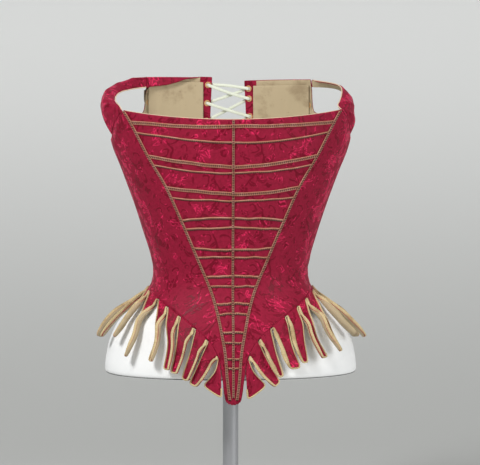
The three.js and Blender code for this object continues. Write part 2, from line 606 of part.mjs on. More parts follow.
function seamBraid(side) {
  return bodyWall(side, 28, 1, (u, v) => {
    const h = lerp(V_SEAM[0].h + BRAID_START, CORNER_HEIGHT - 1, v);
    const x = vSeamX(h) + (u - 0.5) * SEAM_BRAID_WIDTH;
    return { angle: angleAtX(x, h), h };
  }, LAY_GAP, BRAID);
}

// A rung runs from seam braid to seam braid. Its slanted ends follow them.
function rung({ h, rise, width }) {
  // the long ones bend with the front, so they have its columns
  const cols = vSeamX(h) < 16 ? 2 : vSeamX(h) < 32 ? 6 : 12;
  const layer = (lift) => grid(1, cols, (u, v) => {
    const across = 2 * u - 1;
    const height = h + rise * Math.abs(across) ** 1.6 + (v - 0.5) * width;
    const x = across * (vSeamX(height) - INNER_BRAID_EDGE);
    return frontSkin(1, x, height, lift);
  });
  return wallBetween(layer(LAY_GAP + BRAID), layer(LAY_GAP));
}

// The centre braid lies on the front and climbs over each rung.
function centreBraid() {
  const low = LAY_GAP;
  const high = LAY_GAP * 2 + BRAID;
  const stops = [...RUNGS].reverse().flatMap(({ h, width }) => [
    { h: h - width / 2 - HUMP_RUN, lift: low }, { h: h - width / 2 - 0.3, lift: high },
    { h: h + width / 2 + 0.3, lift: high }, { h: h + width / 2 + HUMP_RUN, lift: low },
  ]);
  stops.unshift({ h: V_SEAM[0].h + BRAID_START + 3, lift: low }, { h: 20, lift: low });
  stops.push({ h: NECK.centre - 0.8, lift: low });
  const layer = (extra) => stops.map(({ h, lift }) => [-1, 1].map((s) => (
    frontSkin(1, s * CENTRE_BRAID_WIDTH / 2, h, lift + extra))));
  return wallBetween(layer(BRAID), layer(0));
}

// ---------------------------------------------------------------- skirt tabs

const TAB_ROWS = 5;
const TAB_COLUMNS = [-1, -0.72, -0.44, 0.3, 1];

// A tab's outer surface. s runs from -1 at its forward edge to 1, v from the seam down.
function tabPoint(name, index, s, v) {
  const tab = TABS[name][index];
  const cloth = tab.width / 2 - TAB_EDGE;
  // the part of the width that is rolled outwards is laid out flat first
  const ramp = THREE.MathUtils.smoothstep(v, ROLL_OUT.start, ROLL_OUT.full);
  const rollEdge = -1 + tab.roll * ramp / cloth;
  const flat = Math.max(s, rollEdge);
  const seamAngle = lerp(TAB_SLITS[index], TAB_SLITS[index + 1], (flat + 1) / 2);
  // the waist seam's direction on the surface, in millimetres per degree
  const turn = radians(bodyHalf(waistHeight(seamAngle)) * 0.85);
  const climb = waistHeight(seamAngle + 0.5) - waistHeight(seamAngle - 0.5);
  const along = Math.hypot(turn, climb);
  const topAngle = seamAngle - flat * TAB_EDGE / along + TAB_GAP * climb / along / turn;
  const topHeight = waistHeight(seamAngle - flat * TAB_EDGE / along) - TAB_GAP * turn / along;
  const tipAngle = tab.angle + flat * cloth / bodyHalf(tab.h) * 180 / Math.PI;
  const tipHeight = tab.h + cloth * Math.sin(radians(tab.slant * 2)) * flat;
  const down = v * (Math.abs(s) === 1 ? 1 - TAB_CORNER : 1);
  const turnUp = tab.curl * Math.max(0, (down - 0.62) / 0.38) ** 2;
  const lift = tab.lift * down ** 1.3 - tab.twist * flat * down + turnUp;
  const bow = (tab.bow + tab.swell * flat) * Math.sin(Math.PI * down);
  const angle = radians(lerp(topAngle, tipAngle, down ** 0.85) + bow);
  const h = lerp(topHeight, tipHeight, down);
  const point = skin(SIDE[name], angle, h, lift);
  if (s < flat) {
    const out = skin(SIDE[name], angle, h, lift + 1).sub(point);
    const forwards = skin(SIDE[name], angle - 0.01, h, lift).sub(point).normalize();
    const round = (flat - s) * cloth / ROLL_OUT.radius;
    point.addScaledVector(forwards, ROLL_OUT.radius * Math.sin(round));
    point.addScaledVector(out, ROLL_OUT.radius * (1 - Math.cos(round)));
  }
  return point;
}

function tabLayers(name, index) {
  const outer = Array.from({ length: TAB_ROWS + 1 }, (_, r) => (
    TAB_COLUMNS.map((s) => tabPoint(name, index, s, r / TAB_ROWS))));
  return [outer, innerLayer(outer, SKIRT, -SIDE[name])];
}

// The outline of a tab's cloth: down its forward edge, round the tip and up its rear edge.
function tabOutline(name, index) {
  const [outer, inner] = tabLayers(name, index);
  const [rows, cols] = [TAB_ROWS, TAB_COLUMNS.length - 1];
  const down = outer.map((_, r) => [r, 0]);
  const tip = TAB_COLUMNS.slice(1, -1).map((_, c) => [rows, c + 1]);
  const up = outer.map((_, r) => [rows - r, cols]);
  const outline = [...down, ...tip, ...up].map(([r, c]) => {
    const face = outer[r][c].clone().sub(inner[r][c]).normalize();
    return { at: outer[r][c].clone().add(inner[r][c]).multiplyScalar(0.5), face };
  });
  // the binding starts a little below the waist seam, lower where the seam is steep
  for (const [end, next] of [[0, 1], [outline.length - 1, outline.length - 2]]) {
    const start = index + end === 0 ? BINDING.firstStart : BINDING.start;
    outline[end].at.lerp(outline[next].at, start / outline[end].at.distanceTo(outline[next].at));
  }
  return outline;
}

// The binding lies beside the edge of each tab in turn, and crosses the top of each slit.
function bindingStrip(name) {
  const path = [];
  const faces = [];
  TABS[name].forEach((_, index) => {
    const outline = tabOutline(name, index);
    outline.forEach(({ at, face }, i) => {
      const before = i > 0 ? at.clone().sub(outline[i - 1].at).normalize() : null;
      const after = i < outline.length - 1 ? outline[i + 1].at.clone().sub(at).normalize() : null;
      const along = (before ?? after).clone().add(after ?? before).normalize();
      const outwards = along.clone().cross(face).normalize().multiplyScalar(SIDE[name]);
      const mitre = 1 / along.dot(before ?? after);
      path.push(at.clone().addScaledVector(outwards, (BINDING.gap + BINDING.wide / 2) * mitre));
      faces.push(face);
    });
  });
  return strip(path, faces, BINDING.wide, BINDING.thick, SIDE[name]);
}

// ---------------------------------------------------------------- lace

// Two ends of one tape cross down the back. It goes from left to right inside the panels
// and from right to left outside them, and starts with the bar across the top pair.
function laceTape() {
  const outside = LACE.outside;
  const inside = -CLOTH - LACE.inside;
  const through = (name, i, lifts) => {
    const { at, out } = EYELET_PLACES[name][i];
    return lifts.map((lift) => at.clone().addScaledVector(out, lift));
  };
  // from an eyelet of the top pair down to the last one
  const descend = (start) => {
    const points = [];
    for (let i = 1; i < EYELETS; i += 1) {
      const name = (i % 2 === 0) === (start === 'left') ? 'left' : 'right';
      const arrival = name === 'right' ? inside : outside;
      const departure = name === 'right' ? outside : inside;
      points.push(...through(name, i, [arrival, departure]));
    }
    return points;
  };
  // a short tail hangs from the last eyelet, clear of the cloth where it flares
  const tail = (points) => {
    const end = points.at(-1);
    const flare = end.x > 0 ? LACE.thick * 2 : 0;
    return [...points, end.clone().add(new THREE.Vector3(-Math.sign(end.x) * 6, flare, -LACE.tail))];
  };
  const left = [...through('left', 0, [outside, inside]), ...descend('left')];
  const right = [...through('right', 0, [inside, outside]), ...descend('right')];
  const path = [...tail(left).reverse(), ...tail(right)];
  const up = new THREE.Vector3(0, 0, 1);
  const faces = path.map((p, i) => {
    const along = path[Math.min(i + 1, path.length - 1)].clone().sub(path[Math.max(i - 1, 0)]);
    return along.cross(up).normalize();
  });
  return strip(path, faces, LACE.width, LACE.thick);
}

// ---------------------------------------------------------------- dress form and stand

// Rings joined from the first to the last, the ends closed by their middle points.
function loft(rings) {
  const around = rings[0].length;
  const middle = (ring) => ring.reduce((sum, p) => sum.add(p), new THREE.Vector3()).divideScalar(around);
  const points = [...rings.flat(), middle(rings[0]), middle(rings.at(-1))];
  const [first, last] = [points.length - 2, points.length - 1];
  const triangles = [];
  for (let k = 0; k < around; k += 1) {
    const next = (k + 1) % around;
    for (let r = 0; r < rings.length - 1; r += 1) {
      const [a, b] = [r * around + k, r * around + next];
      triangles.push([a, b, b + around], [a, b + around, a + around]);
    }
    const end = (rings.length - 1) * around;
    triangles.push([first, next, k], [last, end + k, end + next]);
  }
  return closedGeometry(points, triangles);
}

const FORM_AROUND = 28;

function dressForm() {
  const heights = [32, 34, 37, 55, 69, 83, 103, 125, 140, 152, 163, 175, 195, 235, 285, 330, 342, 349, 352];
  const circle = (radius, h) => Array.from({ length: FORM_AROUND }, (_, k) => {
    const angle = 2 * Math.PI * k / FORM_AROUND;
    return new THREE.Vector3(radius * Math.sin(angle), -radius * Math.cos(angle), h + TIP_HEIGHT);
  });
  const ring = (h) => Array.from({ length: FORM_AROUND }, (_, k) => {
    const [sideIn, backIn] = [formSide(h), formBack(h)];
    const [a, f, b] = [bodyHalf(h) - sideIn, bodyFront(h) - sideIn, bodyBack(h) - backIn];
    const [x, y] = section(a, f, b, 2 * Math.PI * (k + 0.001) / FORM_AROUND);
    return new THREE.Vector3(x, y, h + TIP_HEIGHT);
  });
  const bore = POLE_RADIUS + SOCKET.gap + 0.1;
  const socket = [circle(bore, heights[0] + SOCKET.depth), circle(bore, heights[0])];
  return loft([...socket, ...heights.map(ring)]);
}

function stand() {
  const poleTop = TIP_HEIGHT + FORM_INSET[0].h + SOCKET.depth - SOCKET.gap;
  const profile = [
    [0, 0], [FOOT.radius - FOOT.edge, 0], [FOOT.radius, FOOT.edge], [FOOT.radius, FOOT.thick - FOOT.edge],
    [FOOT.radius - FOOT.edge, FOOT.thick], [FOOT.collar, FOOT.thick], [FOOT.collar, FOOT.collarHeight],
    [FOOT.collar - 2, FOOT.collarHeight + 2], [POLE_RADIUS, FOOT.collarHeight + 2],
    [POLE_RADIUS, poleTop], [0, poleTop],
  ].map(([r, z]) => new THREE.Vector2(r, z));
  const lathe = new THREE.LatheGeometry(profile, 24);
  lathe.rotateX(Math.PI / 2);
  lathe.deleteAttribute('normal');
  lathe.deleteAttribute('uv');
  const merged = BufferGeometryUtils.mergeVertices(lathe, 1e-4);
  const points = [];
  for (let i = 0; i < merged.attributes.position.count; i += 1) {
    points.push(new THREE.Vector3().fromBufferAttribute(merged.attributes.position, i));
  }
  const triangles = [];
  for (let i = 0; i < merged.index.count; i += 3) triangles.push([...merged.index.array.slice(i, i + 3)]);
  return closedGeometry(points, triangles);
}

// ---------------------------------------------------------------- the whole

const twoDigits = (n) => String(n).padStart(2, '0');

for (const [name, side] of Object.entries(SIDE)) {
  addNode(`front_${name}`, frontPanel(side), DAMASK);
  addNode(`side_${name}`, sidePanel(side), DAMASK);
  addNode(`back_${name}`, backPanel(name), DAMASK);
  addNode(`lining_back_${name}`, backLining(side), LINEN_CLOTH);
  addNode(`strap_${name}`, strap(name), DAMASK);
  addNode(`seam_braid_${name}`, seamBraid(side), GILT);
  addNode(`binding_${name}`, bindingStrip(name), TAPE);
  TABS[name].forEach((_, index) => {
    addNode(`tab_${name}_${twoDigits(index + 1)}`, wallBetween(...tabLayers(name, index)), DAMASK);
  });
}
RUNGS.forEach((row, index) => addNode(`rung_${twoDigits(index + 1)}`, rung(row), GILT));
addNode('centre_braid', centreBraid(), GILT);
addNode('lace', laceTape(), TAPE);
addNode('dress_form', dressForm(), WHITE_FORM);
addNode('stand', stand(), STEEL);

export default bodice;
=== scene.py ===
# %% [markdown]
# A laced bodice of crimson silk damask, with skirt tabs, shown on a limbless dress form.
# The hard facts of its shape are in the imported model, the frame. Loading the frame first
# means that every finer surface made below can be measured against it. Lengths are worked
# out in millimetres, as a dressmaker would, and scaled to Blender's metres at the end.

# %% Load the frame
import math

import bpy
import numpy as np
from mathutils import Matrix, Vector


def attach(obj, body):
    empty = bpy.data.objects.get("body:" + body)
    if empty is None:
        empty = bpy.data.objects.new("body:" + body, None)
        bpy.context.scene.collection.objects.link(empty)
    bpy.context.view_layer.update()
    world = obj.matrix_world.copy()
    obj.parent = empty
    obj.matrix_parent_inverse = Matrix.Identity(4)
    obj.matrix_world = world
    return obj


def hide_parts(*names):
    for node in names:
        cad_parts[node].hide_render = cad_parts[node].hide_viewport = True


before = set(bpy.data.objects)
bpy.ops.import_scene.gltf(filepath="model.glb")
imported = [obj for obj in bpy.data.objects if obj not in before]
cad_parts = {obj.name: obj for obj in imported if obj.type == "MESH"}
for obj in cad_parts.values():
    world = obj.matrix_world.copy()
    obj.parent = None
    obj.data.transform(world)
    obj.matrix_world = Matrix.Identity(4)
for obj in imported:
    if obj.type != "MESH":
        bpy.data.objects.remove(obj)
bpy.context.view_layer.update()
MM = 0.001
print("frame:", len(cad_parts), "nodes")

# %% [markdown]
# The camera stands far off with a long lens, a little above the waist and a touch to the
# left, as for a museum's record of a costume. A long lens keeps the straps and the tabs at
# one scale. It aims at a point of the form's axis, moved sideways to leave more air on the
# right than on the left.

# %% Camera
CAMERA = {"azimuth": -2.0, "elevation": 6.0, "distance": 12.0, "lens": 665.0}
AIM = {"sideways": 12.8, "height": 411.8}


def direction(azimuth, elevation):
    """The unit vector from the object to a camera: azimuth turns from -Y towards +X."""
    turn, tilt = math.radians(azimuth), math.radians(elevation)
    return Vector((math.sin(turn) * math.cos(tilt), -math.cos(turn) * math.cos(tilt), math.sin(tilt)))


def add_camera():
    """A camera at the stated direction and distance, looking back along it at the aim."""
    turn = math.radians(CAMERA["azimuth"])
    right = Vector((math.cos(turn), math.sin(turn), 0))
    aim = right * AIM["sideways"] * MM + Vector((0, 0, AIM["height"] * MM))
    towards = direction(CAMERA["azimuth"], CAMERA["elevation"])
    data = bpy.data.cameras.new("camera")
    data.lens = CAMERA["lens"]
    data.clip_end = 50
    camera = bpy.data.objects.new("camera", data)
    camera.location = aim + towards * CAMERA["distance"]
    camera.rotation_euler = towards.to_track_quat("Z", "Y").to_euler()
    bpy.context.scene.collection.objects.link(camera)
    bpy.context.scene.camera = camera
    return camera


print("camera at", [round(c, 3) for c in add_camera().location])

# %% [markdown]
# A boned bodice is a stiff cone: its cloth follows one smooth surface, and the seams only
# draw lines on it. So that surface comes first, as one formula. Its sections are rounded
# rectangles whose half width, front depth and back depth change with the height. Every
# panel, braid and tab is then a place on it, given by an angle round the body, a height
# above the tip of the point, and how far it is lifted off.

# %% The body's surface
TIP_HEIGHT = 190.0                # the tip of the point above the floor
SUPER = 2.2                       # exponent of the rounded sections
BODY = [
    # height, half width, front depth, back depth
    (-12, 174.5, 113.5, 112), (40, 174.5, 114.0, 115), (69, 170.5, 111.5, 114),
    (83, 166.0, 109.5, 112), (103, 155.5, 105.5, 107), (125, 131.5, 98.5, 98),
    (146, 111.5, 92.0, 89.5), (160, 105.3, 89.5, 87), (171, 104.2, 89.0, 86),
    (187, 107.0, 90.5, 86), (220, 116.4, 95.0, 88), (263, 130.6, 103.0, 91.5),
    (307, 146.8, 110.5, 94.5), (350, 162.3, 116.0, 97), (395, 168.0, 118.5, 98),
    (430, 168.0, 119.0, 98),
]
SIDES = {"left": -1, "right": 1}


def curve_through(rows, column):
    """A smooth curve through a table, from its first column to another one: cubic pieces
    whose slope at each row is the harmonic mean of the two chords there, or 0 where the
    curve turns, so that it never overshoots."""
    keys = np.array([row[0] for row in rows], float)
    values = np.array([row[column] for row in rows], float)
    run = np.diff(keys)
    chord = np.diff(values) / run
    same = chord[:-1] * chord[1:] > 0
    mean = 2 * chord[:-1] * chord[1:] / np.where(same, chord[:-1] + chord[1:], 1)
    slope = np.concatenate([chord[:1], np.where(same, mean, 0), chord[-1:]])

    def at(place):
        place = np.asarray(place, float)
        i = np.clip(np.searchsorted(keys, place) - 1, 0, len(run) - 1)
        t = np.clip((place - keys[i]) / run[i], 0, 1)
        return ((2 * t**3 - 3 * t**2 + 1) * values[i] + (t**3 - 2 * t**2 + t) * run[i] * slope[i]
                + (3 * t**2 - 2 * t**3) * values[i + 1] + (t**3 - t**2) * run[i] * slope[i + 1])
    return at


body_half, body_front, body_back = (curve_through(BODY, column) for column in (1, 2, 3))


def unit(vectors):
    """Each vector divided by its own length."""
    return vectors / np.maximum(np.linalg.norm(vectors, axis=-1, keepdims=True), 1e-9)


def section(angle, height, half, front, back):
    """x = half |sin|^(2/2.2) and y = -depth |cos|^(2/2.2), each with the sign of its sine or
    cosine. The depth is front where the cosine is positive, and back elsewhere."""
    s, c = np.sin(angle), np.cos(angle)
    x = half * np.sign(s) * np.abs(s) ** (2 / SUPER)
    y = -np.where(c > 0, front, back) * np.sign(c) * np.abs(c) ** (2 / SUPER)
    return np.stack(np.broadcast_arrays(x, y, height + TIP_HEIGHT), -1)


def body_point(angle, height):
    """A place on the body: angle 0 is the middle of the front, pi that of the back."""
    return section(angle, height, body_half(height), body_front(height), body_back(height))


def skin(side, angle, height, lift=0.0):
    """The body's point, moved out by lift along the cross product of the surface's two
    directions, and mirrored for the left side."""
    angle, height, lift = np.broadcast_arrays(*(np.asarray(v, float) for v in (angle, height, lift)))
    along = body_point(angle + 0.01, height) - body_point(angle - 0.01, height)
    up = body_point(angle, height + 0.5) - body_point(angle, height - 0.5)
    point = body_point(angle, height) + unit(np.cross(along, up)) * lift[..., None]
    return point * np.array([side, 1, 1])


def on_skin(name, angle, height, lift=0.0):
    """Places on one side's surface, and the normals there."""
    at = skin(SIDES[name], angle, height, lift)
    return at, skin(SIDES[name], angle, height, lift + 1) - at


def angle_at_x(x, height, behind=False):
    """The angle where the section reaches the half width x: asin((x / half)^1.1)."""
    angle = np.arcsin(np.minimum(1, (x / body_half(height)) ** (SUPER / 2)))
    return np.pi - angle if behind else angle


print("waist", 2 * float(body_half(171.0)), "mm wide, chest", 2 * float(body_half(395.0)), "mm")

# %% [markdown]
# Damask is woven flat, so its pattern has to be laid on the curved panels at one scale. A
# UV map does that when its two numbers are lengths along the cloth. They are found once
# for the whole body: a fine net of points is laid on it, and the distances from point to
# point are added up around and upwards. Any place then reads its two lengths from the net.

# %% Lengths along the cloth
NET_STEP = 2.0                    # millimetres from row to row; the columns are 1 degree apart
NET_ANGLES = np.radians(np.linspace(-2, 182, 185))
NET_HEIGHTS = np.arange(-14.0, 434.0, NET_STEP)


def walked(points, axis=0):
    """The distances from point to point along one axis, added up."""
    steps = np.diff(points, axis=axis, prepend=np.take(points, [0], axis=axis))
    return np.cumsum(np.linalg.norm(steps, axis=-1), axis=axis)


NET = body_point(NET_ANGLES[None, :], NET_HEIGHTS[:, None])
AROUND, UP = walked(NET, 1), walked(NET)


def read_net(table, angle, height):
    """Bilinear reading of a net table at any angle and height."""
    i = np.clip((np.asarray(height) - NET_HEIGHTS[0]) / NET_STEP, 0, len(NET_HEIGHTS) - 1.001)
    j = np.clip((np.asarray(angle) - NET_ANGLES[0]) / np.radians(1), 0, len(NET_ANGLES) - 1.001)
    r, c = i.astype(int), j.astype(int)
    a, b = i - r, j - c
    return ((1 - a) * ((1 - b) * table[r, c] + b * table[r, c + 1])
            + a * ((1 - b) * table[r + 1, c] + b * table[r + 1, c + 1]))


def cloth_lengths(angle, height, centre):
    """Millimetres around from the panel's own centre line, and upwards."""
    angle, height = np.broadcast_arrays(angle, height)
    across = read_net(AROUND, angle, height) - read_net(AROUND, np.full_like(angle, centre), height)
    return np.stack([across, read_net(UP, angle, height)], -1)


print("round the half waist", round(float(read_net(AROUND, np.pi, 171.0)), 1), "mm")

# %% [markdown]
# Cloth has two faces and an edge, and all three show here: crimson silk outside, pale
# linen inside, and a turned edge between them. A Solidify modifier would give the wall,
# but a wall made directly can round its own edge and give each face its own finish. The
# outer points are a grid, the inner ones lie one thickness further in, and a third row
# between them bulges a little past the edge.

# %% Walls of cloth
def new_piece(name, points, faces, uv=None, finish=None, materials=()):
    """A mesh object at the origin from points in millimetres and faces that point out. uv
    has two lengths in millimetres for each point, finish a material number for each face."""
    mesh = bpy.data.meshes.new(name)
    mesh.from_pydata(np.asarray(points, float) * MM, [], faces)
    for material in materials:
        mesh.materials.append(material)
    if finish is not None:
        mesh.polygons.foreach_set("material_index", np.asarray(finish, np.int32))
    if uv is not None:
        corner = np.empty(len(mesh.loops), np.int32)
        mesh.loops.foreach_get("vertex_index", corner)
        layer = mesh.uv_layers.new(name="UVMap")
        layer.data.foreach_set("uv", (np.asarray(uv)[corner] * MM).astype(np.float32).ravel())
    mesh.polygons.foreach_set("use_smooth", np.full(len(mesh.polygons), True))
    mesh.update()
    piece = bpy.data.objects.new(name, mesh)
    bpy.context.scene.collection.objects.link(piece)
    return piece


def outward(points, faces):
    """The faces, all turned round where the volume that they enclose comes out negative."""
    p = points[faces]
    tent = np.einsum("ij,ij->i", p[:, 0], np.cross(p[:, 1], p[:, 2]))
    tent += np.einsum("ij,ij->i", p[:, 0], np.cross(p[:, 2], p[:, 3]))
    return faces if tent.sum() > 0 else faces[:, ::-1]


def grid_normals(points):
    """Unit normals of a grid: the cross product of its column and row directions."""
    return unit(np.cross(np.gradient(points, axis=1), np.gradient(points, axis=0)))


def grid_quads(rows, columns, closed=False):
    """Quads between the points of a grid. A closed one's last column meets its first."""
    at = np.arange(rows * columns).reshape(rows, columns)
    right = np.roll(at, -1, axis=1)
    quads = np.stack([at[:-1], right[:-1], right[1:], at[1:]], -1)
    return (quads if closed else quads[:, :-1]).reshape(-1, 4)


def rim_of(rows, cols):
    """The numbers of a grid's border points, once round."""
    at = np.arange(rows * cols).reshape(rows, cols)
    return np.concatenate([at[0, :-1], at[:-1, -1], at[-1, :0:-1], at[:0:-1, 0]])


RIM_BULGE = 0.35                  # of the thickness


def wall(outer, thick, sign):
    """Points, faces and face kinds of a wall inside a grid of outer points. Its inner points
    are the outer ones minus thick times the normal. The rim's middle points are the mean of
    both, moved off the border by the bulge. Kinds: 0 outside, 1 edge, 2 inside."""
    rows, cols = outer.shape[:2]
    inner = outer - grid_normals(outer) * thick * sign
    flat = np.concatenate([outer.reshape(-1, 3), inner.reshape(-1, 3)])
    rim = rim_of(rows, cols)
    count, size = rows * cols, len(rim)
    r, c = rim // cols, rim % cols
    near = np.clip(r, 1, rows - 2) * cols + np.clip(c, 1, cols - 2)
    off = unit(flat[rim] - flat[near]) * thick * RIM_BULGE
    middle = (flat[rim] + flat[rim + count]) / 2 + off
    points = np.concatenate([flat, middle])
    quads = grid_quads(rows, cols)
    around = np.arange(size)
    after = np.roll(around, -1)
    upper = np.stack([rim[around], 2 * count + around, 2 * count + after, rim[after]], -1)
    lower = np.stack([2 * count + around, rim[around] + count, rim[after] + count, 2 * count + after], -1)
    faces = np.concatenate([quads, upper, lower, (quads + count)[:, ::-1]])
    kinds = np.repeat([0, 1, 2], [len(quads), 2 * size, len(quads)])
    same_as = np.concatenate([np.arange(count), np.arange(count), rim])
    return points, outward(points, faces), kinds, same_as


def cloth(name, outer, thick, sign, uv, materials):
    """A piece of cloth from a grid of outer points and the lengths along the cloth there."""
    points, faces, kinds, same_as = wall(outer, thick, sign)
    return new_piece(name, points, faces, uv.reshape(-1, 2)[same_as], kinds, materials)


def closed_body(name, rings, ends, material, uv=None):
    """A closed body through rings of points, and one more point that closes each end."""
    rows, columns = rings.shape[:2]
    count = rows * columns
    first = np.arange(columns)
    fans = [[count, b, a] for a, b in zip(first, np.roll(first, -1))]
    last = first + count - columns
    fans += [[count + 1, a, b] for a, b in zip(last, np.roll(last, -1))]
    points = np.concatenate([rings.reshape(-1, 3), ends])
    quads = grid_quads(rows, columns, closed=True)
    turned = outward(points, quads)
    if turned is not quads:
        fans = [face[::-1] for face in fans]
    if uv is None:
        uv = np.stack([np.degrees(np.arctan2(points[:, 0], -points[:, 1])) * 2.4, points[:, 2]], -1)
    return new_piece(name, points, turned.tolist() + fans, uv, materials=(material,))


def flat_area(piece):
    """The area of a wall's outer face in square metres."""
    mesh = piece.data
    areas = np.empty(len(mesh.polygons), np.float32)
    kinds = np.empty(len(mesh.polygons), np.int32)
    mesh.polygons.foreach_get("area", areas)
    mesh.polygons.foreach_get("material_index", kinds)
    return float(areas[kinds == 0].sum())


# %% [markdown]
# Finishes are written as arithmetic, because woven figures and braids are easier to read
# as formulas than as a web of nodes. The small class below wraps a shader socket, so that
# plus, minus, times and divide build Math nodes. A finish that several materials share
# becomes a node group with named inputs and outputs.

# %% Arithmetic on shader sockets
class Num:
    """A number that flows through a shader: an output socket in the tree that holds it."""

    def __init__(self, tree, socket):
        self.tree, self.socket = tree, socket

    def math(self, operation, *others):
        node = self.tree.nodes.new("ShaderNodeMath")
        node.operation = operation
        for slot, value in zip(node.inputs, (self, *others)):
            feed(self.tree, slot, value)
        return Num(self.tree, node.outputs[0])

    def ramp(self, low, high):
        """0 at low and 1 at high, with a smooth step between them."""
        node = self.tree.nodes.new("ShaderNodeMapRange")
        node.interpolation_type = "SMOOTHSTEP"
        feed(self.tree, node.inputs["Value"], self)
        node.inputs["From Min"].default_value, node.inputs["From Max"].default_value = low, high
        return Num(self.tree, node.outputs["Result"])

    def __rsub__(self, other):
        return self * -1.0 + other

    def wrap(self, low, high):
        return self.math("WRAP", high, low)


for method, operation in {
        "__add__": "ADD", "__sub__": "SUBTRACT", "__mul__": "MULTIPLY", "__truediv__": "DIVIDE",
        "sin": "SINE", "cos": "COSINE", "floor": "FLOOR", "abs": "ABSOLUTE", "root": "SQRT",
        "larger": "MAXIMUM", "smaller": "MINIMUM", "bearing": "ARCTAN2"}.items():
    setattr(Num, method, lambda self, *others, kind=operation: self.math(kind, *others))


def feed(tree, slot, value):
    """A link into an input where the value comes from a socket, else the value itself."""
    if isinstance(value, Num):
        value = value.socket
    if isinstance(value, bpy.types.NodeSocket):
        tree.links.new(value, slot)
    else:
        slot.default_value = value


def add_node(tree, kind, inputs=(), **settings):
    """A shader node with its settings made and its named or numbered inputs fed."""
    node = tree.nodes.new("ShaderNode" + kind)
    for key, value in settings.items():
        setattr(node, key, value)
    for key, value in dict(inputs).items():
        feed(tree, node.inputs[key], value)
    return node


def xyz(tree, vector):
    """The three numbers of a vector socket."""
    parts = add_node(tree, "SeparateXYZ", {0: vector})
    return [Num(tree, parts.outputs[i]) for i in range(3)]


def combine(tree, x, y, z=0.0):
    return add_node(tree, "CombineXYZ", {0: x, 1: y, 2: z}).outputs[0]


def noise(tree, vector, scale, detail=2.0, rough=0.5, colour=False):
    """Smooth noise: one number, or three in a colour."""
    made = add_node(tree, "TexNoise", {"Vector": vector, "Scale": scale, "Detail": detail,
                                       "Roughness": rough})
    return made.outputs["Color"] if colour else Num(tree, made.outputs["Fac"])


def mix(tree, share, first, second):
    """A colour between two, first where share is 0."""
    made = add_node(tree, "Mix", data_type="RGBA", clamp_factor=True)
    for slot, value in zip((made.inputs["Factor"], made.inputs[6], made.inputs[7]), (share, first, second)):
        feed(tree, slot, value)
    return made.outputs[2]


def new_group(name, inputs, outputs):
    """An empty node group. inputs and outputs give each socket's name and kind."""
    tree = bpy.data.node_groups.new(name, "ShaderNodeTree")
    for way, sockets in (("INPUT", inputs), ("OUTPUT", outputs)):
        for label, kind in sockets.items():
            tree.interface.new_socket(label, in_out=way, socket_type="NodeSocket" + kind)
    return tree, tree.nodes.new("NodeGroupInput"), tree.nodes.new("NodeGroupOutput")


def place_group(tree, group, inputs=()):
    """The group placed in a tree, with its inputs fed."""
    return add_node(tree, "Group", inputs, node_tree=group)


def srgb(r, g, b):
    """A colour named by its screen values, 0 to 255, as the linear light that shaders use."""
    def light(c):
        c /= 255
        return c / 12.92 if c <= 0.04045 else ((c + 0.055) / 1.055) ** 2.4
    return (light(r), light(g), light(b), 1.0)


# %% [markdown]
# The silk is a damask of one colour: its figure shows only because satin floats lie along
# the warp in the figure and across it in the ground, so each catches the light in its own
# way. The figure here is a general floral one: in every cell a stem meanders upwards, and
# blossoms, curled tendrils and saw-edged leaves branch off it. Cells repeat by a half
# drop, which is how such silks were woven, and a slow noise bends the lines as a loom and
# age do. Every shape gives a length: how far a place lies inside its edge. The largest of
# them is the whole figure's, and a band just outside that edge is its outline, which the
# material paints as a highlight.

# %% Damask figure
CELL = {"wide": 60.0, "high": 84.0}
STEM = {"sway": 11.0, "ripple": 3.0, "width": 1.0, "lean": 0.72}
BEND = 22.0                       # the slow noise shifts a place by half of this at most
# Blossoms: centre across and up from the cell's middle, radius, petals, hollow heart.
BLOSSOMS = [(16, 14, 9.0, 5, 3.4), (-17, -24, 8.2, 6, 3.0), (-15, 22, 5.6, 5, 2.0), (18, -18, 4.8, 4, 0)]
# Tendrils: centre, radius, the side left open in degrees, half of the opening, width.
TENDRILS = [
    (-5, 32, 5.6, 200, 60, 1.1), (-22, 4, 4.8, 20, 75, 1.0), (5, -34, 6.0, 75, 70, 1.1),
    (22.5, -4, 3.6, 150, 60, 1.0), (22, 33, 4.6, 250, 70, 1.0), (-19, -8, 3.2, 300, 60, 0.9),
    (7, 7, 2.8, 120, 70, 0.9), (-9, -4, 2.6, 40, 70, 0.9),
]
# Leaves: centre, half length, half width, slant in degrees, teeth.
LEAVES = [
    (4, -6, 11.0, 4.6, 62, 9), (-10, 12, 8.6, 3.0, 128, 7), (10, -12, 8.4, 2.8, 24, 8),
    (-5, -18, 9.0, 2.6, 145, 8), (3, 23, 7.4, 2.6, 40, 7), (-12, -37, 7.6, 2.6, 12, 6),
    (24, 21, 6.4, 2.4, 75, 6), (-25, 33, 6.6, 2.6, 110, 6), (26, -30, 6.0, 2.2, 50, 5),
]


def blossom(x, y, centre_x, centre_y, radius, petals, heart):
    """radius (0.78 + 0.22 cos(petals * angle)) - r, with a ring left open round its heart."""
    dx, dy = x - centre_x, y - centre_y
    r = (dx * dx + dy * dy).root()
    inside = ((dy.bearing(dx) * petals).cos() * 0.22 + 0.78) * radius - r
    return inside.smaller((r - heart).abs() - 0.8) if heart else inside


def tendril(x, y, centre_x, centre_y, radius, open_side, half_open, width):
    """width - |r - radius|, left open where the direction is near the open side."""
    dx, dy = x - centre_x, y - centre_y
    r = (dx * dx + dy * dy).root()
    towards = (dx * math.cos(math.radians(open_side)) + dy * math.sin(math.radians(open_side))) / (r + 0.01)
    return (width - (r - radius).abs()).smaller((math.cos(math.radians(half_open)) - towards) * radius)


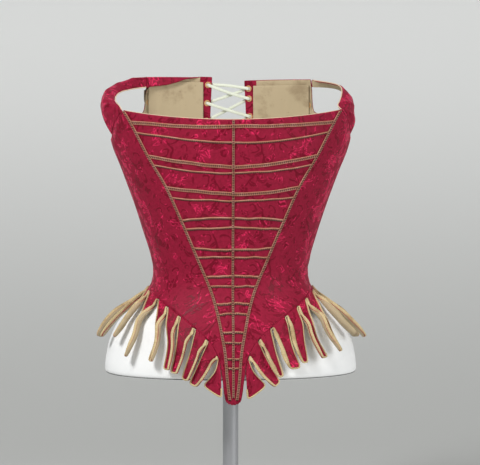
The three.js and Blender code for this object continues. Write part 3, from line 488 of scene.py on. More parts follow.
def leaf(x, y, centre_x, centre_y, half_long, half_wide, slant, teeth):
    """(1 - (along / half length)^2 + teeth) * half width - |across|, less a thin vein."""
    c, s = math.cos(math.radians(slant)), math.sin(math.radians(slant))
    along = ((x - centre_x) * c + (y - centre_y) * s) / half_long
    across = ((y - centre_y) * c - (x - centre_x) * s).abs()
    saw = (along * (teeth * math.pi) + across * 1.2).sin() * 0.2
    inside = (1.0 - along * along + saw) * half_wide - across
    return inside.smaller(across - 0.28)


def damask_group():
    """Puts out the figure as a mask, its outline as another, and broad patches that place a painted
    highlight.
    """
    tree, given, result = new_group(
        "damask figure", {"Lengths": "Vector"}, {"Figure": "Float", "Outline": "Float", "Glint patches": "Float"})
    metres = given.outputs["Lengths"]
    bend = xyz(tree, noise(tree, metres, 38.0, 2.0, 0.55, colour=True))
    u, v, _ = xyz(tree, metres)
    x_all = u * (1 / MM) + (bend[0] - 0.5) * BEND
    y_all = v * (1 / MM) + (bend[1] - 0.5) * BEND
    column = (x_all / CELL["wide"]).floor()
    x = x_all - column * CELL["wide"] - CELL["wide"] / 2
    y = (y_all - column * (CELL["high"] / 2)).wrap(-CELL["high"] / 2, CELL["high"] / 2)
    turn = y * (2 * math.pi / CELL["high"])
    stem_at = turn.sin() * STEM["sway"] + (turn * 2.0 + 1.0).sin() * STEM["ripple"]
    inside = STEM["width"] - (x - stem_at).abs() * STEM["lean"]
    for shape, rows in ((blossom, BLOSSOMS), (tendril, TENDRILS), (leaf, LEAVES)):
        for row in rows:
            inside = inside.larger(shape(x, y, *row))
    figure = inside.ramp(-0.25, 0.3)
    feed(tree, result.inputs["Figure"], figure)
    # The outline and the patches are masks for a painted highlight in the silk's material.
    feed(tree, result.inputs["Outline"], inside.ramp(-1.5, -0.5) * (1.0 - figure))
    feed(tree, result.inputs["Glint patches"], noise(tree, metres, 34.0, 4.0, 0.65))
    return tree


DAMASK_FIGURE = damask_group()
print("damask figure:", len(DAMASK_FIGURE.nodes), "nodes")

# %% [markdown]
# Every cloth here has the fine ribs of its weave, and linen and tape also have the soiling
# of age, which gathers in soft blotches. Both are node groups, so that silk, linen and tape
# can each take them with their own values.

# %% Weave and age
def weave_group():
    """Height of a plain weave: sines across and along, at so many threads per metre."""
    tree, given, result = new_group(
        "plain weave", {"Lengths": "Vector", "Threads": "Float", "Slub": "Float"}, {"Height": "Float"})
    u, v, _ = xyz(tree, given.outputs["Lengths"])
    threads = Num(tree, given.outputs["Threads"]) * math.pi
    across, along = (u * threads).sin().abs(), (v * threads).sin().abs()
    streaks = noise(tree, combine(tree, u * 30.0, v * 900.0), 1.0, 2.0)
    feed(tree, result.inputs["Height"], across * along + streaks * Num(tree, given.outputs["Slub"]))
    return tree


def age_group():
    """A mask of soft blotches and small specks, 0 where the cloth is clean."""
    tree, given, result = new_group("age", {"Place": "Vector", "Amount": "Float"}, {"Soil": "Float"})
    place = given.outputs["Place"]
    blotches = noise(tree, place, 34.0, 5.0, 0.65).ramp(0.48, 0.72)
    specks = noise(tree, place, 160.0, 2.0, 0.6).ramp(0.66, 0.78)
    soil = (blotches + specks * 0.6) * Num(tree, given.outputs["Amount"])
    feed(tree, result.inputs["Soil"], soil.smaller(1.0))
    return tree


WEAVE, AGE = weave_group(), age_group()
print("shared groups:", [group.name for group in bpy.data.node_groups])

# %% [markdown]
# A material holds the Principled shader and the nodes that feed it. The silk's ground is
# crimson, its figure a darker crimson that is also smoother; a painted highlight comes and goes
# on the figure and its outline, and flecks of painted shade darken the ground. The linen inside is cream, and
# soiled in places.

# %% Cloth materials
def new_material(name, **constants):
    """A material with a Principled shader, its constant sockets set by their names."""
    material = bpy.data.materials.new(name)
    material.use_nodes = True
    tree = material.node_tree
    shader = tree.nodes["Principled BSDF"]
    for label, value in constants.items():
        shader.inputs[label.replace("_", " ")].default_value = value
    return material, tree, shader


def bump(tree, shader, height, distance, strength=1.0):
    """A Bump node from a height field to the shader's normal. distance is in millimetres."""
    made = add_node(tree, "Bump", {"Height": height, "Distance": distance * MM, "Strength": strength})
    tree.links.new(made.outputs["Normal"], shader.inputs["Normal"])


def lengths(tree):
    return add_node(tree, "UVMap", uv_map="UVMap").outputs["UV"]


def object_place(tree):
    return add_node(tree, "TexCoord").outputs["Object"]


# GLINT is a painted highlight and SHADE a painted shade; GROUND and FIGURE are the silk's own colours.
GROUND, FIGURE, GLINT, SHADE = srgb(150, 21, 54), srgb(112, 0, 30), srgb(240, 46, 100), srgb(116, 10, 36)


def damask_material():
    material, tree, shader = new_material("crimson silk damask", Specular_IOR_Level=0.16)
    cloth_lengths_at = lengths(tree)
    woven = place_group(tree, DAMASK_FIGURE, {"Lengths": cloth_lengths_at})
    figure, outline, glint_patches = (Num(tree, woven.outputs[label]) for label in ("Figure", "Outline", "Glint patches"))
    # Painted highlight: where broad patches, the Layer Weight facing and fine flecks add up, the figure and
    # its outline are painted bright pink; the same flecks paint shade on the ground.
    facing = Num(tree, add_node(tree, "LayerWeight", {"Blend": 0.3}).outputs["Facing"])
    glint_and_shade_flecks = noise(tree, cloth_lengths_at, 210.0, 3.0, 0.7)
    lit = (glint_patches + facing.ramp(0.2, 0.8) * 0.4 + (glint_and_shade_flecks - 0.5) * 0.6).ramp(0.52, 0.64)
    colour = mix(tree, glint_and_shade_flecks.ramp(0.35, 0.7) * 0.55, GROUND, SHADE)
    colour = mix(tree, figure * 0.92, colour, FIGURE)
    colour = mix(tree, (figure * 0.25 + outline * 0.85) * lit, colour, GLINT)
    feed(tree, shader.inputs["Base Color"], colour)
    feed(tree, shader.inputs["Roughness"], 0.6 - figure * 0.2)
    weave = place_group(tree, WEAVE, {"Lengths": cloth_lengths_at, "Threads": 1400.0, "Slub": 0.5})
    height = Num(tree, weave.outputs["Height"]) * 0.06 + figure * 0.2
    bump(tree, shader, height, 1.0, 0.7)
    return material


def linen_material(name, colour, soiled, amount, threads=900.0):
    material, tree, shader = new_material(name, Roughness=0.9, Sheen_Weight=0.1, Specular_IOR_Level=0.2)
    soil = Num(tree, place_group(tree, AGE, {"Place": object_place(tree), "Amount": amount}).outputs["Soil"])
    feed(tree, shader.inputs["Base Color"], mix(tree, soil, colour, soiled))
    weave = place_group(tree, WEAVE, {"Lengths": lengths(tree), "Threads": threads, "Slub": 0.8})
    bump(tree, shader, weave.outputs["Height"], 0.08, 0.6)
    return material


DAMASK = damask_material()
LINEN = linen_material("cream linen", srgb(182, 165, 134), srgb(126, 104, 76), 0.5)
TAPE = linen_material("cream silk tape", srgb(206, 186, 142), srgb(150, 116, 76), 0.7, 1600.0)
LACE_TAPE = linen_material("white cotton tape", srgb(222, 227, 210), srgb(200, 200, 174), 0.3, 1400.0)
FORM_COVER = linen_material("white cotton jersey", srgb(249, 250, 250), srgb(236, 238, 238), 0.3, 1200.0)
CLOTH_FINISH = (DAMASK, DAMASK, LINEN)
print("cloth materials:", len(bpy.data.materials))

# %% [markdown]
# The braid is woven of gilt thread: two rope-like cords with a ladder of gaps between
# them, painted dark as the shade in them. Its own UV map runs along it in millimetres and
# across it from 0 to 1, so one formula gives the twist of the cords and the rungs of the
# ladder. Where a braid has rolled over, its lower part is painted dark as the shade under the roll.

# %% Braid and metal
BRAID_PERIOD = 2.5                # millimetres from one gap of the ladder to the next
# The last colour is a painted shade, for the ladder's gaps and a rolled braid's lower part.
CORD, CORD_WORN, BRAID_SHADE = srgb(184, 124, 98), srgb(214, 164, 148), srgb(44, 14, 20)


def braid_material(name, middle, ladder_wide, shade_from):
    """Flat braid has its ladder about the middle, ladder_wide either way. Its gaps are painted dark as their
    shade, and so is a rolled braid's lower part, from the given share across.
    """
    material, tree, shader = new_material(name, Roughness=0.5, Metallic=0.2, Specular_IOR_Level=0.45)
    along, across, _ = xyz(tree, lengths(tree))
    across = 1.0 - across * (1 / MM)
    turns = along * (2 * math.pi / (BRAID_PERIOD * MM))
    ladder = (ladder_wide - (across - middle).abs()).ramp(-0.03, 0.03)
    gap = (turns.sin() * 0.5 + 0.5).ramp(0.2, 0.55) * ladder
    twist = (turns * 2.0 + across * 9.0).sin() * 0.5 + 0.5
    worn = noise(tree, object_place(tree), 120.0, 3.0).ramp(0.4, 0.75)
    colour = mix(tree, worn * 0.6, CORD, CORD_WORN)
    colour = mix(tree, twist * 0.4, colour, srgb(140, 92, 66))
    # Painted shade: the ladder's gaps and the lower part of a rolled braid are painted dark.
    colour = mix(tree, gap * 0.95, colour, BRAID_SHADE)
    colour = mix(tree, across.ramp(shade_from, shade_from + 0.12) * 0.9, colour, BRAID_SHADE)
    feed(tree, shader.inputs["Base Color"], colour)
    bump(tree, shader, twist * 0.25 - gap * 0.8, 0.5, 0.8)
    return material


def plain_material(name, colour, **constants):
    material, _, shader = new_material(name, **constants)
    shader.inputs["Base Color"].default_value = colour
    return material


BRAID = {"flat": braid_material("flat gilt braid", 0.5, 0.27, 2.0),
         "chain": braid_material("gilt chain braid", 0.5, 0.36, 2.0),
         "rolled": braid_material("rolled gilt braid", 0.62, 0.2, 0.72)}
STEEL = plain_material("brushed steel", srgb(172, 173, 176), Roughness=0.42, Metallic=0.5)
THREAD = plain_material("gilt silk thread", srgb(196, 150, 96), Roughness=0.6, Sheen_Weight=0.2)


def floor_material():
    """A pale paper sweep, with painted shade that makes it a little darker near the ground than high on the
    wall, and clear from behind, so that a camera back there still sees the bodice."""
    material, tree, shader = new_material("pale paper sweep", Roughness=0.95, Specular_IOR_Level=0.1)
    _, _, height = xyz(tree, object_place(tree))
    # Painted shade: the paper's colour darkens towards the floor, where the light falls off.
    painted_falloff = mix(tree, height.ramp(-0.05, 0.55), srgb(196, 197, 195), srgb(250, 251, 250))
    feed(tree, shader.inputs["Base Color"], painted_falloff)
    behind = add_node(tree, "NewGeometry").outputs["Backfacing"]
    clear = add_node(tree, "BsdfTransparent").outputs[0]
    seen = add_node(tree, "MixShader", {0: behind, 1: shader.outputs[0], 2: clear})
    tree.links.new(seen.outputs[0], tree.nodes["Material Output"].inputs["Surface"])
    return material


FLOOR = floor_material()
print("materials:", [material.name for material in bpy.data.materials])

# %% [markdown]
# The front is cut as two halves that meet under the centre braid, and each ends at the
# slanted V seam. Its rows run level from the tip to the neckline, its columns from the
# centre to the seam. Stiffened cloth hardly folds, but stitching pulls it: small dimples
# and ridges are added to the lift of every point, and fade out at the
# seams so that neighbours still meet.

# %% Seams and creases
CLOTH, LINEN_THICK, SKIRT = 2.0, 1.0, 1.6
SEAM_GAP, TAB_GAP, LAY_GAP, BRAID_THICK = 0.5, 1.2, 0.35, 1.2
V_SEAM = [(1, 3.6), (14, 5.8), (35, 8.2), (65, 10.5), (100, 16.3), (140, 25.5), (196, 47.5),
          (248, 69.4), (293, 89.6), (335, 114), (381, 138), (394, 146)]
CORNER_HEIGHT = 394.0
NECK = {"centre": 386.2, "rise": 7.8, "power": 1.9}
WAIST_SEAM = [(1.5, 1.5), (2.6, 9), (3.4, 31), (4.6, 59), (8.2, 82), (14.3, 99), (23.5, 114),
              (35.5, 126), (48.5, 135.5), (72, 146), (110, 151), (180, 153)]
v_seam_x = curve_through(V_SEAM, 1)
waist_height = curve_through(WAIST_SEAM, 1)

# Creases: from (across, height) to (across, height), width and lift, all in millimetres.
FRONT_CREASES = {
    "left": [(20, 366, 22, 340, 3.5, 0.5), (58, 352, 92, 338, 5, 0.45), (34, 300, 70, 291, 4, 0.4),
             (12, 268, 40, 262, 3, 0.35), (14, 226, 36, 218, 4, 0.4), (104, 372, 122, 362, 5, 0.5)],
    "right": [(16, 368, 20, 336, 4, 0.5), (66, 345, 104, 342, 6, 0.5), (40, 304, 58, 290, 4, 0.35),
              (18, 262, 46, 266, 4, 0.4), (10, 222, 30, 228, 3, 0.35), (96, 368, 118, 372, 5, 0.45)],
}


def creases(rows, across, height):
    """The sum over rows of lift times exp(-(distance from the line / width)^2)."""
    lift = np.zeros(np.broadcast(across, height).shape)
    for x0, h0, x1, h1, width, rise in rows:
        run = np.array([x1 - x0, h1 - h0], float)
        share = np.clip(((across - x0) * run[0] + (height - h0) * run[1]) / (run @ run), 0, 1)
        away = np.hypot(across - x0 - share * run[0], height - h0 - share * run[1])
        lift += rise * np.exp(-(away / width) ** 2) * (0.55 + 0.45 * np.sin(np.pi * share))
    return lift


def creases_by_angle(rows, angle, height, spread):
    """The same, for rows whose places across are in degrees, each degree spread mm wide."""
    rows = [(a0 * spread, h0, a1 * spread, h1, *size) for a0, h0, a1, h1, *size in rows]
    return creases(rows, np.degrees(angle) * spread, height)


def smooth_share(value, low, high):
    t = np.clip((value - low) / (high - low), 0, 1)
    return t * t * (3 - 2 * t)


def fade(u, v, border=0.06):
    """1 inside a piece and 0 at its border, by smooth steps."""
    return smooth_share(np.minimum(np.minimum(u, 1 - u), np.minimum(v, 1 - v)) / border, 0, 1)


def even_grid(columns, rows):
    """u grows along a row, v from row to row, both from 0 to 1."""
    return np.meshgrid(np.linspace(0, 1, columns + 1), np.linspace(0, 1, rows + 1))


def mix_to(a, b, share):
    return a + (b - a) * share


def front_relief(side_name, x, height):
    """How far stitching lifts the front's cloth off its surface at a place."""
    return creases(FRONT_CREASES[side_name], np.abs(x), height)


print("seam leaves the neck at", float(v_seam_x(CORNER_HEIGHT)), "mm from the middle")

# %% Front panels
def neck_height(x):
    """The neckline: its centre plus a rise times (x / corner)^1.9."""
    return NECK["centre"] + NECK["rise"] * (np.abs(x) / float(v_seam_x(CORNER_HEIGHT))) ** NECK["power"]


def front_panel(name):
    u, v = even_grid(44, 130)
    height = mix_to(V_SEAM[0][0], neck_height(u * float(v_seam_x(CORNER_HEIGHT))), v)
    x = mix_to(SEAM_GAP / 2, v_seam_x(height) - SEAM_GAP / 2, u)
    angle = angle_at_x(x, height)
    lift = front_relief(name, x, height) * fade(u, v)
    outer = skin(SIDES[name], angle, height, lift)
    uv = cloth_lengths(angle, height, 0.0) * [SIDES[name], 1]
    piece = cloth(f"front_{name}_cloth", outer, CLOTH, SIDES[name], uv, CLOTH_FINISH)
    return piece, (148, 408)


PANELS = {f"front_{name}": front_panel(name) for name in SIDES}
print("front halves:", [len(piece.data.polygons) for piece, _ in PANELS.values()], "faces")

# %% [markdown]
# The side panel is the widest: it runs from the V seam round under the arm to the side
# back seam. Below, it ends at the waist seam, which climbs steeply from the point. Above,
# it ends at the V seam first, then at the strap and the armhole. So each column has its
# own top and bottom, and the rows are shared out between them.

# %% Side panels
SIDE_TOP = [(60, 394), (68, 380), (77, 362), (85, 351.5), (94, 348.5), (106, 351), (118, 360), (128, 376)]
BACK_SEAM = {"low": 122.0, "high": 128.0, "low_height": 151.0, "high_height": 376.0}
side_top = curve_through(SIDE_TOP, 1)
FRONT_SHARE = 0.46                # of the side's columns end on the V seam

# Creases on the side: from (degrees, height) to (degrees, height), width in mm, lift.
SIDE_CREASES = {
    "left": [(62, 168, 100, 172, 6, 0.7), (60, 182, 84, 190, 5, 0.6), (96, 186, 118, 178, 5, 0.5),
             (70, 158, 112, 156, 4, 0.5), (66, 372, 78, 340, 6, 0.7), (74, 352, 82, 318, 5, 0.5),
             (104, 346, 112, 300, 7, 0.6), (86, 250, 94, 210, 7, 0.5), (52, 232, 60, 204, 6, 0.5)],
    "right": [(60, 166, 96, 170, 5, 0.7), (64, 180, 92, 186, 6, 0.6), (98, 190, 116, 182, 5, 0.5),
              (72, 159, 108, 157, 4, 0.5), (65, 366, 76, 336, 6, 0.7), (80, 344, 86, 312, 5, 0.5),
              (106, 344, 110, 306, 6, 0.6), (90, 262, 96, 222, 7, 0.5), (54, 240, 58, 208, 6, 0.4)],
}
BONES = (48, 58, 68, 80, 92, 104, 114)   # angles of the boning channels
BONE_RIDGE = {"lift": 0.22, "width": 2.6}
SIDE_SPREAD, BACK_SPREAD = 2.4, 2.2      # millimetres to a degree round the waist
SEAM_TURN = SEAM_GAP / 2 / float(body_half(BACK_SEAM["low_height"]))   # half a seam's gap as an angle


def back_seam_angle(height):
    """The side back seam leans: its angle grows evenly with the height."""
    share = (height - BACK_SEAM["low_height"]) / (BACK_SEAM["high_height"] - BACK_SEAM["low_height"])
    return np.radians(mix_to(BACK_SEAM["low"], BACK_SEAM["high"], share))


def side_relief(name, angle, height):
    """Creases in millimetres along the surface, and faint ridges over the bones inside."""
    lift = creases_by_angle(SIDE_CREASES[name], angle, height, SIDE_SPREAD)
    for bone in BONES:
        away = (np.degrees(angle) - bone) * SIDE_SPREAD
        lift += BONE_RIDGE["lift"] * np.exp(-(away / BONE_RIDGE["width"]) ** 2)
    return lift


def side_places(u, v):
    """Angle and height of each point. Columns up to FRONT_SHARE end on the V seam."""
    corner = float(angle_at_x(float(v_seam_x(CORNER_HEIGHT)) + SEAM_GAP / 2, CORNER_HEIGHT))
    on_seam = np.clip(u / FRONT_SHARE, 0, 1) ** 0.8
    seam_height = mix_to(V_SEAM[0][0], CORNER_HEIGHT, on_seam)
    past = np.clip((u - FRONT_SHARE) / (1 - FRONT_SHARE), 0, 1)
    seam_angle = angle_at_x(v_seam_x(seam_height) + SEAM_GAP / 2, seam_height)
    angle = np.where(past > 0, mix_to(corner, np.radians(BACK_SEAM["high"]), past), seam_angle)
    top = np.where(past > 0, side_top(mix_to(SIDE_TOP[0][0], BACK_SEAM["high"], past)), seam_height)
    low = waist_height(np.degrees(angle)) + SEAM_GAP / 2
    height = mix_to(low, np.maximum(top, low + 0.6), v)
    lean = (back_seam_angle(height) - math.radians(BACK_SEAM["high"])) * past
    return angle + lean - SEAM_TURN * past, height


def side_panel(name):
    u, v = even_grid(110, 96)
    angle, height = side_places(u, v)
    lift = side_relief(name, angle, height) * fade(u, v, 0.05)
    outer = skin(SIDES[name], angle, height, lift)
    uv = cloth_lengths(angle, height, math.radians(78)) * [SIDES[name], 1] + [300 * SIDES[name], 37]
    piece = cloth(f"side_{name}_cloth", outer, CLOTH, SIDES[name], uv, CLOTH_FINISH)
    return piece, (300, 425)


PANELS.update({f"side_{name}": side_panel(name) for name in SIDES})
print("sides:", [round(flat_area(PANELS[f"side_{name}"][0]), 4) for name in SIDES], "square metres")

# %% [markdown]
# The back panels end at the laced edges. Each column leans from the side back seam to that
# edge. The top of the left one is turned over inwards like a collar: the column goes on
# round a small arc and then hangs down inside. The arc's radius, how far it turns and how
# far it hangs are functions of the place across.

# %% Back panels
BACK_TOP = [(22, 424), (50, 425), (80, 426), (112, 427)]
DROP = {"left": 0.0, "right": 5.0}
BACK_ARM = {"x": 113.5, "low": 413.0}
ROLL_RADIUS = 4.6
ROLL = [(36, 0, 0), (56, 110, 0.5), (73, 165, 3), (88, 175, 6), (114, 175, 8.5)]
LACED_EDGE = [(150, 28), (250, 27), (367, 25), (423, 22.5)]
back_top, laced_edge = curve_through(BACK_TOP, 1), curve_through(LACED_EDGE, 1)
roll_turn, roll_hang = curve_through(ROLL, 1), curve_through(ROLL, 2)
FACING_SHARE = 0.12               # of the inner face, from the laced edge
ARM_SHARE = 0.24                  # of the back's columns end at the armhole


def back_places(name, u, v):
    """Angle and height of each point, how far it is rolled inwards and raised."""
    seam_angle = math.radians(BACK_SEAM["high"]) + SEAM_TURN
    arm_angle = float(angle_at_x(BACK_ARM["x"], BACK_ARM["low"], True))
    arm = np.clip(u / ARM_SHARE, 0, 1)
    t = np.clip((u - ARM_SHARE) / (1 - ARM_SHARE), 0, 1)
    x = mix_to(BACK_ARM["x"] - 0.4, float(laced_edge(423.0)), t)
    on_top = t > 0
    top_x = back_top(x) - DROP[name]
    arm_top = mix_to(BACK_SEAM["high_height"], BACK_ARM["low"], arm ** 5)
    top = np.where(on_top, top_x, arm_top)
    arm_share = 1 - (1 - arm) ** 2
    top_angle = np.where(on_top, angle_at_x(x, top_x, True), mix_to(seam_angle, arm_angle, arm_share))
    rolled = on_top & (name == "left")
    turn = np.where(rolled, np.radians(roll_turn(x)), 0)
    hang = np.where(rolled, roll_hang(x), 0)
    low = float(waist_height(150.0)) + SEAM_GAP / 2
    straight = top - low - ROLL_RADIUS * np.sin(np.minimum(turn, np.pi / 2))
    run = v * (straight + ROLL_RADIUS * turn + hang)
    height = low + np.minimum(run, straight)
    seam = back_seam_angle(np.minimum(height, BACK_SEAM["high_height"])) + SEAM_TURN
    end = float(angle_at_x(float(laced_edge(423.0)), 423.0, True))
    share = (top_angle - seam_angle) / (end - seam_angle)
    angle = mix_to(seam, angle_at_x(laced_edge(height), height, True), share)
    round_ = np.minimum(np.maximum(0, run - straight) / ROLL_RADIUS, turn)
    past = np.maximum(0, run - straight - ROLL_RADIUS * turn)
    inwards = ROLL_RADIUS * (1 - np.cos(round_)) + past * np.sin(turn)
    raised = ROLL_RADIUS * np.sin(round_) + past * np.cos(turn)
    return angle, height, inwards, raised


BACK_CREASES = {
    "left": [(134, 392, 140, 372, 5, 0.6), (150, 398, 152, 360, 5, 0.5), (140, 168, 160, 172, 5, 0.5),
             (136, 182, 150, 186, 4, 0.4), (146, 300, 150, 262, 6, 0.4)],
    "right": [(132, 388, 139, 366, 5, 0.6), (148, 392, 150, 350, 5, 0.5), (138, 170, 158, 168, 5, 0.5),
              (140, 186, 154, 182, 4, 0.4), (144, 280, 149, 240, 6, 0.4)],
}


def face_with_silk(piece, columns, rows):
    """The silk is turned in at the laced edge, so the inner face's last columns are silk."""
    kinds = np.empty(len(piece.data.polygons), np.int32)
    piece.data.polygons.foreach_get("material_index", kinds)
    inner = kinds[-columns * rows:].reshape(rows, columns)
    inner[:, int(columns * (1 - FACING_SHARE)):] = 1
    piece.data.polygons.foreach_set("material_index", kinds)


def back_panel(name):
    u, v = even_grid(60, 120)
    v = np.where(v < 0.85, v * 0.92 / 0.85, mix_to(0.92, 1.0, (v - 0.85) / 0.15))
    angle, height, inwards, raised = back_places(name, u, v)
    lift = creases_by_angle(BACK_CREASES[name], angle, height, BACK_SPREAD) * fade(u, v, 0.08)
    outer = skin(SIDES[name], angle, height, lift - inwards)
    outer[..., 2] += raised
    uv = cloth_lengths(angle, height, math.radians(146)) * [SIDES[name], 1] + [500 * SIDES[name], 21]
    uv[..., 1] += raised + inwards
    piece = cloth(f"back_{name}_cloth", outer, CLOTH, SIDES[name], uv, CLOTH_FINISH)
    face_with_silk(piece, u.shape[1] - 1, u.shape[0] - 1)
    return piece, (112, 290)


PANELS.update({f"back_{name}": back_panel(name) for name in SIDES})
print("backs:", [round(flat_area(PANELS[f"back_{name}"][0]), 4) for name in SIDES], "square metres")

# %% [markdown]
# Inside the top of each back hangs the linen lining, which shows through the neck. It is
# a thin sheet a little inside the back's wall. The straps are short bands that stand over
# the shoulder: each is a surface stretched between three rails, its neck edge, its crown
# and its arm edge. The rails are centripetal Catmull-Rom curves, because those pass
# through every station and don't loop where the stations stand close together.

# %% Lining and straps
LINING = {"low": 355.0, "below": 7.0, "gap": 1.1, "facing": 11.0, "side_inset": 3.0}
LINING_CREASES = {
    "left": [(60, 410, 62, 372, 3, 0.5), (78, 408, 76, 380, 2.5, 0.4), (92, 402, 96, 366, 4, 0.6)],
    "right": [(56, 404, 60, 366, 3, 0.4), (84, 400, 80, 370, 3, 0.5), (100, 396, 96, 372, 3, 0.4)],
}
STRAP_ROOT = (61, 80)
STRAP_END = {"left": 2.0, "right": 1.3}
STRAPS = {  # inner (neck) edge, crown and outer (arm) edge of each station: x, y, height
    "left": [
        ((152.0, -52.0, 398.6), (164.0, -39.0, 389.0), (169.5, -21.0, 372.0)),
        ((156.0, -36.0, 402.5), (170.5, -28.0, 399.5), (174.0, -10.0, 384.0)),
        ((157.0, -18.0, 406.0), (171.5, -11.0, 407.5), (175.0, 4.0, 393.5)),
        ((154.5, 0.0, 409.5), (167.0, 7.0, 415.5), (173.0, 18.0, 401.0)),
        ((148.0, 19.0, 411.8), (156.5, 26.5, 420.5), (165.5, 34.0, 409.0)),
        ((138.0, 37.0, 412.8), (142.0, 44.5, 424.5), (152.5, 52.0, 412.5)),
        ((125.5, 53.5, 413.5), (128.5, 60.0, 427.0), (136.0, 66.5, 413.5)),
    ],
    "right": [
        ((144.0, -54.0, 398.5), (161.0, -42.0, 388.0), (167.0, -22.0, 371.0)),
        ((147.0, -40.0, 404.0), (163.0, -30.0, 396.5), (166.0, -12.0, 382.5)),
        ((150.5, -22.0, 411.5), (163.5, -14.0, 404.0), (166.5, 3.0, 390.0)),
        ((151.0, -3.0, 417.5), (160.5, 5.0, 409.5), (163.5, 19.0, 396.0)),
        ((147.0, 17.0, 420.5), (154.5, 24.0, 414.0), (159.0, 36.0, 404.5)),
        ((138.5, 36.0, 421.5), (144.5, 44.0, 418.0), (150.0, 53.0, 411.5)),
        ((127.0, 54.0, 422.0), (131.5, 60.5, 419.0), (135.5, 67.0, 413.5)),
    ],
}
# Creases of a strap: from (along, across) to (along, across) as shares, width, lift in mm.
STRAP_CREASES = {
    "left": [(0.10, 0.25, 0.16, 0.95, 0.028, 1.0), (0.18, 0.10, 0.25, 0.80, 0.03, 1.3),
             (0.30, 0.20, 0.33, 0.95, 0.03, 1.0), (0.45, 0.0, 0.52, 0.7, 0.035, 0.8),
             (0.66, 0.2, 0.70, 1.0, 0.03, 0.9), (0.84, 0.1, 0.86, 0.8, 0.03, 0.7)],
    "right": [(0.09, 0.2, 0.15, 1.0, 0.03, 0.9), (0.24, 0.05, 0.30, 0.75, 0.032, 1.1),
              (0.42, 0.3, 0.44, 1.0, 0.03, 0.8), (0.60, 0.0, 0.66, 0.7, 0.035, 0.9),
              (0.8, 0.2, 0.84, 0.9, 0.03, 0.7)],
}


def back_lining(name):
    u, v = even_grid(40, 30)
    x = mix_to(BACK_ARM["x"] - LINING["side_inset"], float(laced_edge(400.0)) + LINING["facing"], u)
    height = mix_to(LINING["low"], back_top(x) - DROP[name] - LINING["below"], v)
    angle = angle_at_x(x, height, True)
    lift = -CLOTH - LINING["gap"] - creases(LINING_CREASES[name], x, height) * fade(u, v, 0.1)
    outer = skin(SIDES[name], angle, height, lift)
    uv = cloth_lengths(angle, height, math.radians(146))
    piece = cloth(f"lining_back_{name}_cloth", outer, LINEN_THICK, SIDES[name], uv, (LINEN, LINEN, LINEN))
    return piece, (80, 66)


def rail(points, share):
    """A centripetal Catmull-Rom curve: cubic pieces whose end slopes come from chords over
    the square roots of the distances. The ends are continued straight on."""
    points = np.asarray(points, float)
    padded = np.concatenate([2 * points[:1] - points[1:2], points, 2 * points[-1:] - points[-2:-1]])
    place = np.clip(share, 0, 1) * (len(points) - 1)
    i = np.minimum(place.astype(int), len(points) - 2)
    p0, p1, p2, p3 = (padded[i + k] for k in range(4))
    d0, d1, d2 = (np.linalg.norm(b - a, axis=-1)[..., None] ** 0.5 for a, b in ((p0, p1), (p1, p2), (p2, p3)))
    start = ((p1 - p0) / d0 - (p2 - p0) / (d0 + d1) + (p2 - p1) / d1) * d1
    end = ((p2 - p1) / d1 - (p3 - p1) / (d1 + d2) + (p3 - p2) / d2) * d1
    t = (place - i)[..., None]
    return (p1 + start * t + (3 * (p2 - p1) - 2 * start - end) * t**2
            + (2 * (p1 - p2) + start + end) * t**3)


def strap_stations(name):
    """Three points for each station: the front root on the side panel's edge, the table's
    stations, and the back root. On the left that goes over the back's rolled edge."""
    side = SIDES[name]

    def root(share):
        angle = mix_to(*STRAP_ROOT, share)
        return skin(side, math.radians(angle), float(side_top(angle))) + [side * 0.3, 0.2, SEAM_GAP + 0.5]

    x, low = BACK_ARM["x"], BACK_ARM["low"]
    top = float(back_top(x)) - DROP[name]

    def back_at(height, inwards=0.0):
        return skin(side, angle_at_x(x + STRAP_END[name], height, True), height, -inwards)

    def middle(station):
        return [np.array([side * x, y, height + TIP_HEIGHT]) for x, y, height in station]

    shares = (0.0, 0.5, 1.0)
    hang = top - ROLL_RADIUS - float(roll_hang(x))
    back_root = {"left": [back_at(hang, 2 * ROLL_RADIUS), back_at(top, ROLL_RADIUS), back_at(low)],
                 "right": [back_at(mix_to(top, low, s)) for s in shares]}[name]
    return [[root(s) for s in shares], *map(middle, STRAPS[name]), back_root]


def across_strap(inner, crown, outer, t):
    """One parabola: through the inner edge at t = 0, the crown at 1/2, the outer edge at 1."""
    return inner * (1 - t) * (1 - 2 * t) + crown * 4 * t * (1 - t) + outer * t * (2 * t - 1)


def strap(name):
    u, v = even_grid(150, 30)
    stations = np.array(strap_stations(name))
    surface = across_strap(*(rail(stations[:, k], u) for k in range(3)), (1 - v)[..., None])
    lift = creases(STRAP_CREASES[name], u, 1 - v) * fade(u, v, 0.05)
    surface = surface + grid_normals(surface) * SIDES[name] * lift[..., None]
    uv = np.stack([walked(surface) + 40 * SIDES[name], walked(surface, 1)], -1)
    piece = cloth(f"strap_{name}_cloth", surface, CLOTH, SIDES[name], uv, CLOTH_FINISH)
    return piece, (38, 160)


PANELS.update({f"lining_back_{name}": back_lining(name) for name in SIDES})
PANELS.update({f"strap_{name}": strap(name) for name in SIDES})
print("panels so far:", list(PANELS))

# %% [markdown]
# Gilt braid trims the front like the rungs of a ladder: a strip of it covers each V seam,
# one runs down the centre, and eighteen cross from seam to seam. Braid is a profile carried
# along a line on the surface. Across, the profile has a raised cord at each edge and a
# hollow between them. Along, the hollow rises and falls with the ladder's gaps.

